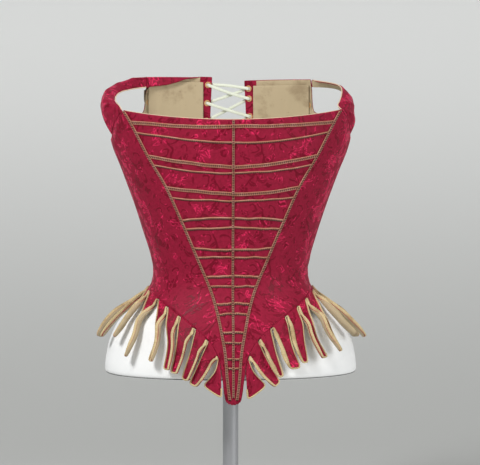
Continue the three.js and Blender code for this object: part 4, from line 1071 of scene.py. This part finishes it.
# %% Braid
SEAM_BRAID_WIDTH, CENTRE_BRAID_WIDTH = 3.8, 3.2
BRAID_START = 6.0                 # from the tip of the front up to the braids
RUNGS = [  # height at the centre, how much higher the ends are, width
    (376.7, 2.0, 5.0), (354.4, 10.5, 3.2), (322.0, 12.0, 5.0), (313.0, 8.0, 3.0), (284.9, 6.7, 4.8),
    (275.3, 2.5, 3.0), (251.8, -3.7, 3.6), (238.4, -3.2, 3.4), (207.8, 1.3, 3.6), (197.7, -0.7, 3.2),
    (172.0, -1.8, 3.8), (158.0, 0, 3.2), (135.6, -1.6, 3.6), (122.4, -1.6, 3.2), (97.7, -0.5, 3.4),
    (83.9, 0, 3.0), (62.2, 0, 3.2), (49.8, 0, 3.0),
]
HUMP_RUN = 1.6                    # the centre braid climbs a rung over this length
BRAID_FLOOR, BRAID_FILL = 0.35, 0.3   # of its thickness: below the relief, and in the hollow
ACROSS = np.array([0.0, 0.06, 0.14, 0.24, 0.33, 0.5, 0.67, 0.76, 0.86, 0.94, 1.0])
RELIEF = {"flat": np.array([0.0, 0.62, 1.0, 0.72, 0.34, 0.26, 0.34, 0.72, 1.0, 0.62, 0.0]),
          "rolled": np.array([0.0, 0.02, 0.08, 0.2, 0.4, 0.7, 0.95, 1.0, 0.9, 0.55, 0.0])}
RELIEF["chain"] = RELIEF["flat"]


def braid_piece(name, surface_at, length, base, kind, step=0.55):
    """surface_at(share, across, lift) gives the points of the strip. The top is lifted by
    the profile, whose hollow is filled between the gaps, and the bottom lies on the cloth."""
    rows = max(8, int(length / step))
    share, across = np.meshgrid(np.linspace(0, 1, rows + 1), ACROSS, indexing="ij")
    ladder = 0.5 + 0.5 * np.sin(share * length * 2 * np.pi / BRAID_PERIOD)
    hollow = np.clip(1 - np.abs(across - 0.5) / 0.24, 0, 1)
    relief = (1 - BRAID_FLOOR) * np.interp(across, ACROSS, RELIEF[kind])
    rise = BRAID_THICK * (BRAID_FLOOR + relief + BRAID_FILL * hollow * (1 - ladder))
    top = surface_at(share, across, base + rise)
    bottom = surface_at(share, across, base + 0.02)
    count = top.shape[0] * top.shape[1]
    quads, rim = grid_quads(*top.shape[:2]), rim_of(*top.shape[:2])
    edge = np.stack([rim, rim + count, np.roll(rim, -1) + count, np.roll(rim, -1)], -1)
    faces = np.concatenate([quads, edge, (quads + count)[:, ::-1]])
    points = np.concatenate([top.reshape(-1, 3), bottom.reshape(-1, 3)])
    uv = np.stack([share * length, across], -1).reshape(-1, 2)
    return new_piece(name, points, outward(points, faces), np.concatenate([uv, uv]), materials=(BRAID[kind],))


def front_surface(side, x, height, lift):
    """A place on the front. A negative x turns to the other half."""
    place = skin(1, angle_at_x(np.abs(x), height), height, lift)
    place[..., 0] *= np.sign(x + 1e-9) * side
    return place


def seam_braid(name):
    side = SIDES[name]
    low, high = V_SEAM[0][0] + BRAID_START, CORNER_HEIGHT - 1.0

    def surface_at(share, across, lift):
        height = mix_to(low, high, share)
        return front_surface(side, v_seam_x(height) + (across - 0.5) * SEAM_BRAID_WIDTH, height, lift)
    return braid_piece(f"seam_braid_{name}_woven", surface_at, 430.0, LAY_GAP, "chain")


def rung(number, height, rise, width, seed):
    """height + rise |across|^1.6, with a slow waver, from seam braid to seam braid."""
    waver = seed.uniform(-1.0, 1.0, 6)
    reach = float(v_seam_x(height)) - SEAM_BRAID_WIDTH / 2 - LAY_GAP

    def surface_at(share, across, lift):
        along = 2 * share - 1
        slow = sum(w * np.sin(np.pi * (k + 1) * along + k) / (k + 1) for k, w in enumerate(waver))
        level = height + rise * np.abs(along) ** 1.6 + slow * min(1, reach / 40) + (across - 0.5) * width
        x = along * (v_seam_x(level) - SEAM_BRAID_WIDTH / 2 - LAY_GAP)
        relief = np.where(x < 0, front_relief("left", x, level), front_relief("right", x, level))
        return front_surface(1, x, level, lift + relief)
    return braid_piece(f"rung_{number:02d}_woven", surface_at, 2 * reach, LAY_GAP,
                       "flat" if width > 4.2 else "rolled")


def centre_braid():
    """Its base climbs from the cloth to the top of each rung and down again."""
    low, high = LAY_GAP, LAY_GAP * 2 + BRAID_THICK
    stops = [(V_SEAM[0][0] + BRAID_START + 3, low), (20.0, low)]
    for height, _, width in reversed(RUNGS):
        stops += [(height - width / 2 - HUMP_RUN, low), (height - width / 2 - 0.3, high),
                  (height + width / 2 + 0.3, high), (height + width / 2 + HUMP_RUN, low)]
    stops.append((NECK["centre"] - 0.8, low))
    heights, lifts = np.array(stops).T

    def surface_at(share, across, lift):
        height = mix_to(heights[0], heights[-1], share)
        base = np.interp(height, heights, lifts)
        return front_surface(1, (across - 0.5) * CENTRE_BRAID_WIDTH, height, lift + base)
    return braid_piece("centre_braid_woven", surface_at, 400.0, 0.0, "chain", 0.5)


rng = np.random.default_rng(7)
TRIMS = {f"seam_braid_{name}": seam_braid(name) for name in SIDES}
TRIMS.update({f"rung_{i + 1:02d}": rung(i + 1, *row, rng) for i, row in enumerate(RUNGS)})
TRIMS["centre_braid"] = centre_braid()
print("braid:", sum(len(piece.data.polygons) for piece in TRIMS.values()), "faces")

# %% [markdown]
# Below the waist seam the cloth is slit into tabs, so that it can spread over the hips.
# Each tab hangs from its stretch of the seam, swings out to its tip, and rolls its forward
# edge outwards, which shows the linen. A tab is one surface: across it runs from the
# forward edge to the rear one, and down it from seam to tip. The roll is an arc that the
# forward part of the width is wrapped on, and it opens from the seam to half way down.

# %% Tab tables
TAB_SLITS = [3.7, 5.3, 10, 17, 28.4, 41.7, 56, 79, 96, 112, 129, 147, 166]
TAB_COLUMNS = ("angle", "height", "width", "lift", "twist", "roll", "curl", "slant", "bow", "swell")
TABS = {
    "left": [
        (8, 19, 28, 4, 0.5, 0, 0, 24, -1, -1), (15.5, 28, 16.5, 6.5, 3.5, 4, 1, 12, -1.5, 1),
        (19, 35, 16, 7.5, 4.5, 5, 1, 6, -1.5, 0.5), (24, 44, 17, 8, 4, 5, 2, 4, -2, 0),
        (27.5, 48, 17, 8.5, 3.5, 6, 2, 2, -3.5, -1), (35.5, 58, 17.5, 9, 4.5, 8, 3, 3, -6, -1),
        (50.5, 62, 16, 9, 4.5, 8, 4, 2, -8, -2), (62.5, 84, 18.5, 10.5, 3, 8, 3, 1, -9, -1),
        (76, 81, 19, 11, 3.5, 4, 3, 0, -8.5, -1.5), (104, 74, 20, 10, 3, 5, 3, -3, -6, 1),
        (131, 68, 20, 8, -1.5, 3, 3, 0, -3, 0), (157, 66, 21, 7, 1.5, 3, 2, 2, -1, 0),
    ],
    "right": [
        (9, 17.5, 29, 4, 0.5, 0, 0, 26, -1, -1), (17, 28.5, 14.5, 6.5, 3, 2, 1, 24, -2, 1),
        (19, 39, 12.5, 6.5, 4.5, 2, 0, 4, -1.5, 0.5), (25.5, 49, 21.5, 8.5, 0.5, 1, 1, 2, -1.5, -1),
        (30.5, 56, 13.5, 8.5, -1.5, 1, 2, 2, -2.5, 0), (41, 61, 20.5, 9, 3.5, 6, 3, 2, -6, -1),
        (51.5, 68, 19, 10, 4.5, 7, 4, 2, -9, 0), (68, 84, 24, 11, 6, 9, 3, 0, -11, -2),
        (84, 77, 20, 11, 2, 4, 3, -3, -9, 1.5), (109, 72, 20, 9, 3, 4, 3, 0, -5, 0),
        (135, 69, 20, 9, -1.5, 3, 3, 3, -3, 1), (159, 67, 21, 7, 1.5, 3, 2, -2, -1, 0),
    ],
}
ROLL_OUT = {"radius": 3.2, "start": 0.08, "full": 0.5}
TAB_EDGE, TAB_CORNER = 2.6, 0.07


def tab_surface(name, index, s, v, buckle):
    """A tab's outer surface in millimetres. s goes from -1 at the forward edge to 1, v from
    the seam to the tip. The angle goes from seam to tip by v^0.85 + bow sin(pi v), the lift
    by v^1.3, and what lies forward of the roll's line is wrapped on an arc."""
    tab = dict(zip(TAB_COLUMNS, TABS[name][index]))
    half = tab["width"] / 2 - TAB_EDGE
    ramp = smooth_share(v, ROLL_OUT["start"], ROLL_OUT["full"])
    flat = np.maximum(s, -1 + tab["roll"] * ramp / half)
    seam_angle = mix_to(TAB_SLITS[index], TAB_SLITS[index + 1], (flat + 1) / 2)
    turn = np.radians(body_half(waist_height(seam_angle)) * 0.85)
    climb = waist_height(seam_angle + 0.5) - waist_height(seam_angle - 0.5)
    along = np.hypot(turn, climb)
    top_angle = seam_angle - flat * TAB_EDGE / along + TAB_GAP * climb / along / turn
    top_height = waist_height(seam_angle - flat * TAB_EDGE / along) - TAB_GAP * turn / along
    tip_angle = tab["angle"] + np.degrees(flat * half / float(body_half(float(tab["height"]))))
    tip_height = tab["height"] + half * math.sin(math.radians(tab["slant"] * 2)) * flat
    down = v * (1 - TAB_CORNER * np.abs(s) ** 8)
    turn_up = tab["curl"] * np.maximum(0, (down - 0.62) / 0.38) ** 2
    lift = tab["lift"] * down ** 1.3 - tab["twist"] * flat * down + turn_up + buckle
    bow = (tab["bow"] + tab["swell"] * flat) * np.sin(np.pi * down)
    angle = np.radians(mix_to(top_angle, tip_angle, down ** 0.85) + bow)
    height = mix_to(top_height, tip_height, down)
    point = skin(SIDES[name], angle, height, lift)
    out = skin(SIDES[name], angle, height, lift + 1) - point
    forwards = unit(skin(SIDES[name], angle - 0.01, height, lift) - point)
    wrapped = ((flat - s) * half / ROLL_OUT["radius"])[..., None]
    return point + ROLL_OUT["radius"] * (forwards * np.sin(wrapped) + out * (1 - np.cos(wrapped)))


def tab_buckle(index, s, v):
    """Soft waves along a tab, uneven from one tab to the next, none at the seam."""
    wave = np.sin(v * (5.0 + index % 3) + index * 1.7) * 0.5 + np.sin(v * 11 + index * 2.9 + s) * 0.22
    return wave * smooth_share(v, 0.05, 0.4) * (1 - 0.3 * s)


def buckled_tab(name, index, s, v):
    return tab_surface(name, index, s, v, tab_buckle(index, s, v))


def skirt_tab(name, index):
    s, v = np.meshgrid(np.linspace(-1, 1, 25), np.linspace(0, 1, 49))
    outer = buckled_tab(name, index, s, v)
    down, across = walked(outer[:, 12]), walked(outer, 1)
    uv = np.stack([(across - across[:, 12:13]) * SIDES[name], -np.broadcast_to(down[:, None], s.shape)], -1)
    uv += [index * 29, index * 17]
    piece = cloth(f"tab_{name}_{index + 1:02d}_cloth", outer, SKIRT, -SIDES[name], uv, CLOTH_FINISH)
    return piece, (float(across.max()), float(down[-1]))


SKIRT_TABS = {f"tab_{name}_{i + 1:02d}": skirt_tab(name, i) for name in SIDES for i in range(12)}
print("tabs:", len(SKIRT_TABS), "of", len(next(iter(SKIRT_TABS.values()))[0].data.polygons), "faces")

# %% [markdown]
# One tape binds all the tabs of a side. It is folded over the edge, so it shows as a round
# cream border, goes down one edge of a tab, round its tip, up the other edge, and turns at
# the head of the slit into the next tab. That makes it a single tube with an oval section,
# carried along the tabs' own borders. Its flat side keeps to the cloth by the face normal
# that goes with each point of the path. It is rolled broad on a forward edge and drawn
# tight on a rear one.

# %% Binding
BINDING = {"forward": 2.7, "rear": 0.5, "half_thick": 1.25, "off": 1.5, "whip": 0.22, "stitch": 3.1}
FIRST_TOP = 0.62                  # the first tab is sewn to the point above this share
BORDER_STOPS = [0, 0.42, 0.47, 0.53, 0.58, 1]   # seam, corner, tip, tip, corner, seam
HALF_WIDE = [(0, 0.7), (0.1, BINDING["forward"]), (0.38, BINDING["forward"]), (0.46, 1.1),
             (0.6, BINDING["rear"]), (1, BINDING["rear"])]   # share of the border, millimetres
BORDER_POINTS = 120


def tube(name, path, faces_out, half_wide, half_thick, material, sides=10, power=0.75):
    """A tube along a path. Its section is an oval of cos and sin raised to a power, wide
    across the path and thin along the given face normals. Its ends are closed with points."""
    path = np.asarray(path, float)
    along = unit(np.gradient(path, axis=0))
    face = unit(faces_out - along * np.sum(faces_out * along, -1, keepdims=True))
    side = np.cross(along, face)
    turn = np.linspace(0, 2 * np.pi, sides, endpoint=False)
    c, s = (np.sign(f) * np.abs(f) ** power for f in (np.cos(turn), np.sin(turn)))
    wide, thick = (np.broadcast_to(half, len(path))[:, None, None] for half in (half_wide, half_thick))
    rings = path[:, None] + side[:, None] * (c[:, None] * wide) + face[:, None] * (s[:, None] * thick)
    far = walked(path)
    round_it = np.arange(sides) * 2 * wide[0, 0, 0] / sides
    uv = np.stack([np.repeat(far, sides), np.tile(round_it, len(path))], -1)
    uv = np.concatenate([uv, [[0, 0]], [[far[-1], 0]]])
    return closed_body(name, rings, path[[0, -1]], material, uv)


def tab_border(name, index):
    """Points round a tab's border, mid cloth, and its face normals there. The border goes
    down the forward edge, round two corners and up the rear edge."""
    t = np.linspace(0, 1, BORDER_POINTS)
    s = np.interp(t, BORDER_STOPS, [-1, -1, -0.86, 0.86, 1, 1])
    v = np.interp(t, BORDER_STOPS, [0.01 if index else FIRST_TOP, 0.97, 1, 1, 0.97, 0.01])
    smooth = np.array([1, 2, 3, 2, 1]) / 9
    s, v = (np.convolve(np.pad(a, 2, "edge"), smooth, "valid") for a in (s, v))
    step = 0.02
    edge, inwards, above = (buckled_tab(name, index, *place)
                            for place in ((s, v), (s * (1 - step), v), (s, np.maximum(v - step, 0))))
    off = unit(edge - np.where(np.abs(s) > 0.9, inwards.T, above.T).T)
    along = unit(np.gradient(edge, axis=0))
    face = unit(np.cross(off, along)) * -SIDES[name]
    forwards = smooth_share(t, 0.02, 0.12) - smooth_share(t, 0.36, 0.42)
    out = BINDING["off"] * (index > 0) * forwards[:, None]
    return edge - face * SKIRT / 2 + off * (0.1 + out), face


def bound_edge(name):
    paths, faces = zip(*(tab_border(name, index) for index in range(12)))
    path, face = np.concatenate(paths), np.concatenate(faces)
    for _ in range(2):
        path[1:-1] = (path[:-2] + 2 * path[1:-1] + path[2:]) / 4
        face[1:-1] = unit(face[:-2] + face[1:-1] + face[2:])
    draws = np.random.default_rng(11 + len(name)).uniform(-1, 1, len(path) + 24)
    uneven = np.convolve(draws, np.ones(25) / 25, "valid")
    far = walked(path)
    fine = np.linspace(0, far[-1], int(far[-1] / 0.55))
    path, face = (np.stack([np.interp(fine, far, rows[:, k]) for k in range(3)], -1) for rows in (path, face))
    half = np.interp(np.linspace(0, 1, BORDER_POINTS), *np.transpose(HALF_WIDE))
    half = np.concatenate([np.minimum(half, 1.0), np.tile(half, 11)])
    wide = np.interp(fine, far, half * (1 + 0.5 * uneven))
    whipped = 1 + BINDING["whip"] * np.abs(np.sin(fine * np.pi / BINDING["stitch"]))
    return tube(f"binding_{name}_tape", path, face, wide * whipped, BINDING["half_thick"] * whipped, TAPE, 8)


TRIMS.update({f"binding_{name}": bound_edge(name) for name in SIDES})
print("bindings:", [len(TRIMS[f"binding_{name}"].data.polygons) for name in SIDES], "faces")

# %% [markdown]
# Where two pieces are joined, their turned edges meet in a thin welt: a cord of the same
# silk, sunk between them. Without it light would fall through the seam. The neckline is
# finished the other way, with a very thin pale piping that catches a line of light.

# %% Welts and piping
WELT, PIPING = 0.85, 0.55
STRAP_WELT = {"over": 0.4, "below": 0.7, "stouter": 1.35}


def cord(name, line, radius, material):
    return tube(name, *line, radius, radius, material, 8, power=1.0)


def strap_end(name):
    """The seam between strap and back: the parabola of the strap's last station, set over."""
    line = across_strap(*strap_stations(name)[-1], np.linspace(0, 1, 40)[:, None])
    line = line - [SIDES[name] * (STRAP_END[name] / 2 + STRAP_WELT["over"]), 0, STRAP_WELT["below"]]
    return line, np.cross(np.gradient(line, axis=0), [1.0, 0, 0])


def seam_welts(name):
    """Cords in the waist seam, the side back seam and both ends of the strap."""
    degrees = np.concatenate([np.linspace(2.0, 30, 60), np.linspace(31, 168, 120)])
    waist = on_skin(name, np.radians(degrees), waist_height(degrees) - 0.45, -1.0)
    low, high = BACK_SEAM["low_height"], BACK_SEAM["high_height"]
    heights = np.linspace(low, high - 1, 90)
    back = on_skin(name, back_seam_angle(heights), heights, -1.0)
    root = np.linspace(*STRAP_ROOT, 24)
    strap_root = on_skin(name, np.radians(root), side_top(root) + 0.6, -0.9)
    lines = {"waist": waist, "side_back": back, "strap_root": strap_root, "strap_end": strap_end(name)}
    stouter = {"strap_end": STRAP_WELT["stouter"]}
    return [cord(f"{part}_welt_{name}", line, WELT * stouter.get(part, 1), DAMASK)
            for part, line in lines.items()]


def neck_piping():
    x = np.linspace(-1, 1, 161) * (float(v_seam_x(CORNER_HEIGHT)) - 2)
    at = front_surface(1, x, neck_height(x) + 0.25, -0.7)
    return cord("neck_piping", (at, front_surface(1, x, neck_height(x), 0.3) - at), PIPING, PIPING_CORD)


def strap_piping(name):
    """A pale cord inside the strap's neck edge."""
    rows = rail(np.array(strap_stations(name))[:, 0], np.linspace(0.02, 0.98, 120))
    towards_neck = unit(rows * [1, 1, 0]) * -1.2
    return cord(f"strap_piping_{name}", (rows + towards_neck, -towards_neck), PIPING + 0.15, PIPING_CORD)


PIPING_CORD = plain_material("pale piping", srgb(222, 196, 168), Roughness=0.7)
WELTS = [piece for name in SIDES for piece in seam_welts(name)]
PIPINGS = [neck_piping(), *map(strap_piping, SIDES)]
print("welts and pipings:", len(WELTS), len(PIPINGS))

# %% [markdown]
# The back is laced with one flat cotton tape. It goes straight across the top pair of
# eyelets, and then both halves cross down the back in turns: from left to right inside the
# panels, from right to left outside them. The route is a list of places worked out from
# the eyelets, and the tape hangs a little slack between them. Each eyelet is worked round
# with thread, which a ring with radial stitches shows.

# %% Eyelets and lace
EYELETS, EYELET_STEP, EYELET_INSET, EYELET_RADIUS = 11, 24.2, 4.6, 2.9
TOP_EYELETS = {"left": (414.0, 389.0), "right": (408.7, 395.0)}
ARM_EYELET = {"left": 392.0, "right": 387.5}
LACE = {"half_wide": 2.1, "half_thick": 0.5, "outside": 1.7, "inside": 1.5, "tail": 16.0}
SAG, TOP_RISE = (0.2, 1.1), 1.4   # the stretches sag, and the one across the top bows up
RING = {"off": 0.35, "tube": 1.05, "rise": 0.62, "stitches": 19, "swell": 0.16}


def eyelet_place(name, number):
    """The eyelet's middle on the surface, and the normal there."""
    height = TOP_EYELETS[name][min(number, 1)] - EYELET_STEP * max(0, number - 1)
    return on_skin(name, angle_at_x(float(laced_edge(height)) + EYELET_INSET, height, True), height)


def lace_route():
    """The tape's turning points from one tail to the other."""
    out, inside = LACE["outside"], -CLOTH - LACE["inside"]

    def through(name, number, lifts):
        at, normal = eyelet_place(name, number)
        return [at + normal * lift for lift in lifts]

    def descend(start):
        points = []
        for i in range(1, EYELETS):
            name = "left" if (i % 2 == 0) == (start == "left") else "right"
            lifts = (inside, out) if name == "right" else (out, inside)
            points += through(name, i, lifts)
        return points

    def with_tail(points):
        end = points[-1]
        flare = 2.0 if end[0] > 0 else 0.0
        return points + [end + [-math.copysign(6, end[0]), flare, -LACE["tail"]]]

    left = with_tail(through("left", 0, (out, inside)) + descend("left"))
    right = with_tail(through("right", 0, (inside, out)) + descend("right"))
    return np.array(left[::-1] + right)


def lace_tape():
    """Long stretches get extra points that sag a little, then all are joined smoothly."""
    route = lace_route()
    slack = np.random.default_rng(5)
    points = [route[0]]
    for before, after in zip(route[:-1], route[1:]):
        if np.linalg.norm(after - before) > 20:
            sag = slack.uniform(*SAG)
            if before[2] > 600 and after[2] > 590 and abs(before[2] - after[2]) < 8:
                sag = -TOP_RISE
            for share in (0.12, 0.5, 0.88):
                points.append(mix_to(before, after, share) + [0, 0, -sag * 4 * share * (1 - share)])
        points.append(after)
    points = np.array(points)
    path = rail(points, np.linspace(0, 1, len(points) * 10))
    along = unit(np.gradient(path, axis=0))
    face = unit(np.cross(along, [0.0, 0.0, 1.0]))
    padded = np.pad(face, ((3, 3), (0, 0)), "edge")
    face = unit(np.stack([np.convolve(column, np.ones(7) / 7, "valid") for column in padded.T], -1))
    return tube("lace_tape", path, face, LACE["half_wide"], LACE["half_thick"], LACE_TAPE, 8, power=0.6)


def punch_eyelets(piece, name):
    """Holes through the back's wall: cylinders along the normals, cut by a Boolean."""
    shapes = []
    for number in range(EYELETS):
        at, normal = eyelet_place(name, number)
        turn = Vector(normal).to_track_quat("Z", "Y")
        bpy.ops.mesh.primitive_cylinder_add(vertices=24, radius=(EYELET_RADIUS - 0.5) * MM, depth=9 * MM)
        punch = bpy.context.object
        punch.data.transform(turn.to_matrix().to_4x4())
        punch.data.transform(Matrix.Translation(Vector(at) * MM))
        shapes.append(punch)
    first = shapes[0]
    with bpy.context.temp_override(active_object=first, selected_editable_objects=shapes, object=first):
        bpy.ops.object.join()
    cut = piece.modifiers.new("eyelets", "BOOLEAN")
    cut.operation, cut.solver, cut.object = "DIFFERENCE", "EXACT", first
    mesh = bpy.data.meshes.new_from_object(piece.evaluated_get(bpy.context.evaluated_depsgraph_get()))
    piece.modifiers.clear()
    piece.data = mesh
    bpy.data.objects.remove(first)


def armhole_eyelet(name):
    """One more eyelet near the armhole, where the strap's ribbon was tied."""
    height = ARM_EYELET[name]
    return on_skin(name, angle_at_x(BACK_ARM["x"] - 4.5, height, True), height)


def worked_rings(name):
    """Rings round the eyelets: a torus whose tube swells and shrinks with each stitch."""
    turn, round_tube = np.meshgrid(np.linspace(0, 2 * np.pi, 96, endpoint=False),
                                   np.linspace(0, 2 * np.pi, 10, endpoint=False), indexing="ij")
    index = np.arange(turn.size).reshape(turn.shape)
    right = np.roll(index, -1, 0)
    quads = np.stack([index, right, np.roll(right, -1, 1), np.roll(index, -1, 1)], -1).reshape(-1, 4)
    stitch = 1 + RING["swell"] * np.sin(turn * RING["stitches"])
    reach = EYELET_RADIUS + RING["off"] + np.cos(round_tube) * RING["tube"] * stitch
    rise = np.sin(round_tube) * RING["rise"] * stitch + 0.1
    points, faces = [], []
    for at, normal in [eyelet_place(name, number) for number in range(EYELETS)] + [armhole_eyelet(name)]:
        normal = unit(normal)
        across = unit(np.cross(normal, [0.0, 0.0, 1.0]))
        up = np.cross(across, normal)
        for level in (0.0, -CLOTH):
            ring = (at + normal * level + (np.cos(turn) * reach)[..., None] * across
                    + (np.sin(turn) * reach)[..., None] * up + rise[..., None] * normal).reshape(-1, 3)
            faces.append(outward(ring - ring.mean(0), quads) + len(points) * turn.size)
            points.append(ring)
    points = np.concatenate(points)
    return new_piece(f"eyelets_{name}_worked", points, np.concatenate(faces), points[:, :2],
                     materials=(THREAD,))


for name in SIDES:
    punch_eyelets(PANELS[f"back_{name}"][0], name)
TRIMS["lace"] = lace_tape()
WORKED = {name: worked_rings(name) for name in SIDES}
print("lace:", len(TRIMS["lace"].data.polygons), "faces; eyelets:", 2 * EYELETS)

# %% [markdown]
# The dress form fills the bodice a few millimetres inside its cloth, and is closed above
# under the armholes. Its rings are the body's own sections with an inset that grows at the
# shoulder and the hem. It stands on a steel pole with a round foot: one profile, turned
# about the axis.

# %% Dress form and stand
FORM_INSET = [  # height, inset at front and sides, inset at the back
    (32, 9.0, 11), (37, 4.6, 7.5), (60, 4.6, 7.5), (125, 4.8, 7.5), (146, 3.4, 7.4), (160, 2.9, 7.2),
    (187, 2.7, 7.2), (300, 4.0, 7.2), (330, 5.0, 8.0), (342, 10, 12), (349, 22, 22), (352, 48, 42),
]
form_side, form_back = curve_through(FORM_INSET, 1), curve_through(FORM_INSET, 2)
POLE_RADIUS = 10.5
SOCKET = {"depth": 60.0, "gap": 0.3}
FOOT = {"radius": 135.0, "thick": 7.0, "edge": 2.0, "collar": 17.0, "collar_height": 24.0}
GATHER = {"height": 34.0, "out": 0.1, "radius": 0.8}   # the seam under the form
FORM_HEIGHTS = np.concatenate([[32, 32.8, 34, 35.5, 37, 41], np.arange(45, 330, 5),
                               [332, 336, 340, 342, 345, 347, 349, 350.5, 351.5, 352]])


def form_ring(around, height, out=0.0):
    """A section of the form: the body's, drawn in by the insets, and out again by out."""
    side, rear = (float(inset(height)) - out for inset in (form_side, form_back))
    return section(around, height, float(body_half(height)) - side, float(body_front(height)) - side,
                   float(body_back(height)) - rear)


def turned_body(name, rings, material):
    """A closed body through rings, with the middles of its first and last ring added."""
    rings = np.asarray(rings)
    return closed_body(name, rings, rings[[0, -1]].mean(1), material)


def dress_form():
    around = np.linspace(0, 2 * np.pi, 192, endpoint=False) + 1e-4

    def circle(radius, height):
        return np.stack([radius * np.sin(around), -radius * np.cos(around),
                         np.full_like(around, height + TIP_HEIGHT)], -1)

    bore = POLE_RADIUS + SOCKET["gap"]
    low = FORM_INSET[0][0]
    rings = [circle(bore, low + SOCKET["depth"]), circle(bore, low + 0.6), circle(bore + 0.6, low),
             *(form_ring(around, height) for height in FORM_HEIGHTS)]
    return turned_body("dress_form_cover", rings, FORM_COVER)


def stand():
    pole_top = TIP_HEIGHT + FORM_INSET[0][0] + SOCKET["depth"] - SOCKET["gap"]
    foot, edge, collar = FOOT["radius"], FOOT["edge"], FOOT["collar"]
    profile = [(foot - edge, 0), (foot - 0.5, 0.6), (foot, edge), (foot, FOOT["thick"] - edge),
               (foot - 0.5, FOOT["thick"] - 0.6), (foot - edge, FOOT["thick"]), (collar + 0.6, FOOT["thick"]),
               (collar, FOOT["thick"] + 0.6), (collar, FOOT["collar_height"]), (collar - 0.6, 25.4),
               (collar - 2, 26), (POLE_RADIUS + 0.5, 26), (POLE_RADIUS, 26.5), (POLE_RADIUS, pole_top)]
    turn = np.linspace(0, 2 * np.pi, 128, endpoint=False)
    rings = [np.stack([r * np.cos(turn), r * np.sin(turn), np.full_like(turn, z)], -1) for r, z in profile]
    piece = turned_body("stand_steel", rings, STEEL)
    piece.data.set_sharp_from_angle(angle=math.radians(35))
    return piece


def form_seam():
    """The jersey is gathered under the form: a thin grey seam goes round at its very edge."""
    path = form_ring(np.linspace(0, 2 * np.pi, 240), GATHER["height"], GATHER["out"])
    return tube("form_seam", path, path * [1, 1, 0], GATHER["radius"], GATHER["radius"], SEAM_GREY, 6, 1.0)


SEAM_GREY = plain_material("grey seam", srgb(120, 121, 120), Roughness=0.9)
FORM, STAND = dress_form(), stand()
FORM_SEAM = form_seam()
print("form and stand:", len(FORM.data.polygons), len(STAND.data.polygons), "faces")

# %% [markdown]
# A museum lights such a piece softly: one broad lamp from the upper left and front gives
# the tabs their shadows, a weaker one fills the right, and the pale floor runs up into the
# wall without an edge, so that nothing stands behind the bodice but a grey, with painted shade
# that darkens it a little low down.

# %% Lights and floor
LAMPS = {
    # azimuth, elevation, distance in metres, size in metres, watts
    "key": (-40, 38, 2.4, 0.55, 40), "fill": (52, 16, 2.8, 1.6, 34), "top": (0, 82, 2.2, 1.6, 3),
}
SWEEP = {"front": -6000.0, "back": 2600.0, "radius": 1800.0, "top": 6000.0, "half": 7000.0}   # mm


def add_lamp(name, azimuth, elevation, distance, size, watts):
    data = bpy.data.lights.new(name, "AREA")
    data.size, data.energy = size, watts
    lamp = bpy.data.objects.new(name, data)
    towards = direction(azimuth, elevation)
    lamp.location = towards * distance + Vector((0, 0, 0.4))
    lamp.rotation_euler = towards.to_track_quat("Z", "Y").to_euler()
    bpy.context.scene.collection.objects.link(lamp)


def backdrop():
    """A floor that bends up into a wall: a line forward, a quarter circle and a line up,
    carried sideways."""
    turn = np.linspace(0, np.pi / 2, 24)
    radius, back = SWEEP["radius"], SWEEP["back"]
    y = np.concatenate([[SWEEP["front"]], back - radius + radius * np.sin(turn), [back]])
    z = np.concatenate([[0.0], radius - radius * np.cos(turn), [SWEEP["top"]]])
    x = np.array([-SWEEP["half"], SWEEP["half"]])
    points = np.stack([np.tile(x, len(y)), np.repeat(y, 2), np.repeat(z, 2)], -1)
    return new_piece("floor_and_wall", points, grid_quads(len(y), 2), points[:, :2],
                     materials=(FLOOR,))


for name, row in LAMPS.items():
    add_lamp(name, *row)
world = bpy.context.scene.world or bpy.data.worlds.new("studio air")
bpy.context.scene.world = world
world.use_nodes = True
world.node_tree.nodes["Background"].inputs["Color"].default_value = srgb(236, 237, 236)
world.node_tree.nodes["Background"].inputs["Strength"].default_value = 0.4
bpy.context.scene.view_settings.view_transform = "Standard"
backdrop()
print("lamps:", list(LAMPS))

# %% [markdown]
# Last, each piece is hung from one empty, and the model's node that it stands for, where
# there is one, is hidden. For cloth, its flat size and area are worked out, but not kept.

# %% Attach the pieces
LEAST_AREA = 0.301                # of the box round the cut piece


def stands_for(piece, node):
    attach(piece, "root")
    if node:
        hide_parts(node)


def declare_sheet(piece, flat):
    """Works out a sheet's flat size in metres, with its own outer area as the cut's area, but keeps neither.
    """
    wide, long_ = (size * MM for size in flat)
    area = min(max(flat_area(piece), LEAST_AREA * wide * long_), wide * long_)


for node, (piece, flat) in {**PANELS, **SKIRT_TABS}.items():
    stands_for(piece, node)
    declare_sheet(piece, flat)
for node, piece in TRIMS.items():
    stands_for(piece, node)
for slot, pieces in (("gilt_braid", WORKED.values()), ("damask", WELTS), ("tape", PIPINGS)):
    for piece in pieces:
        stands_for(piece, None)
stands_for(FORM, "dress_form")
stands_for(STAND, "stand")
stands_for(FORM_SEAM, None)
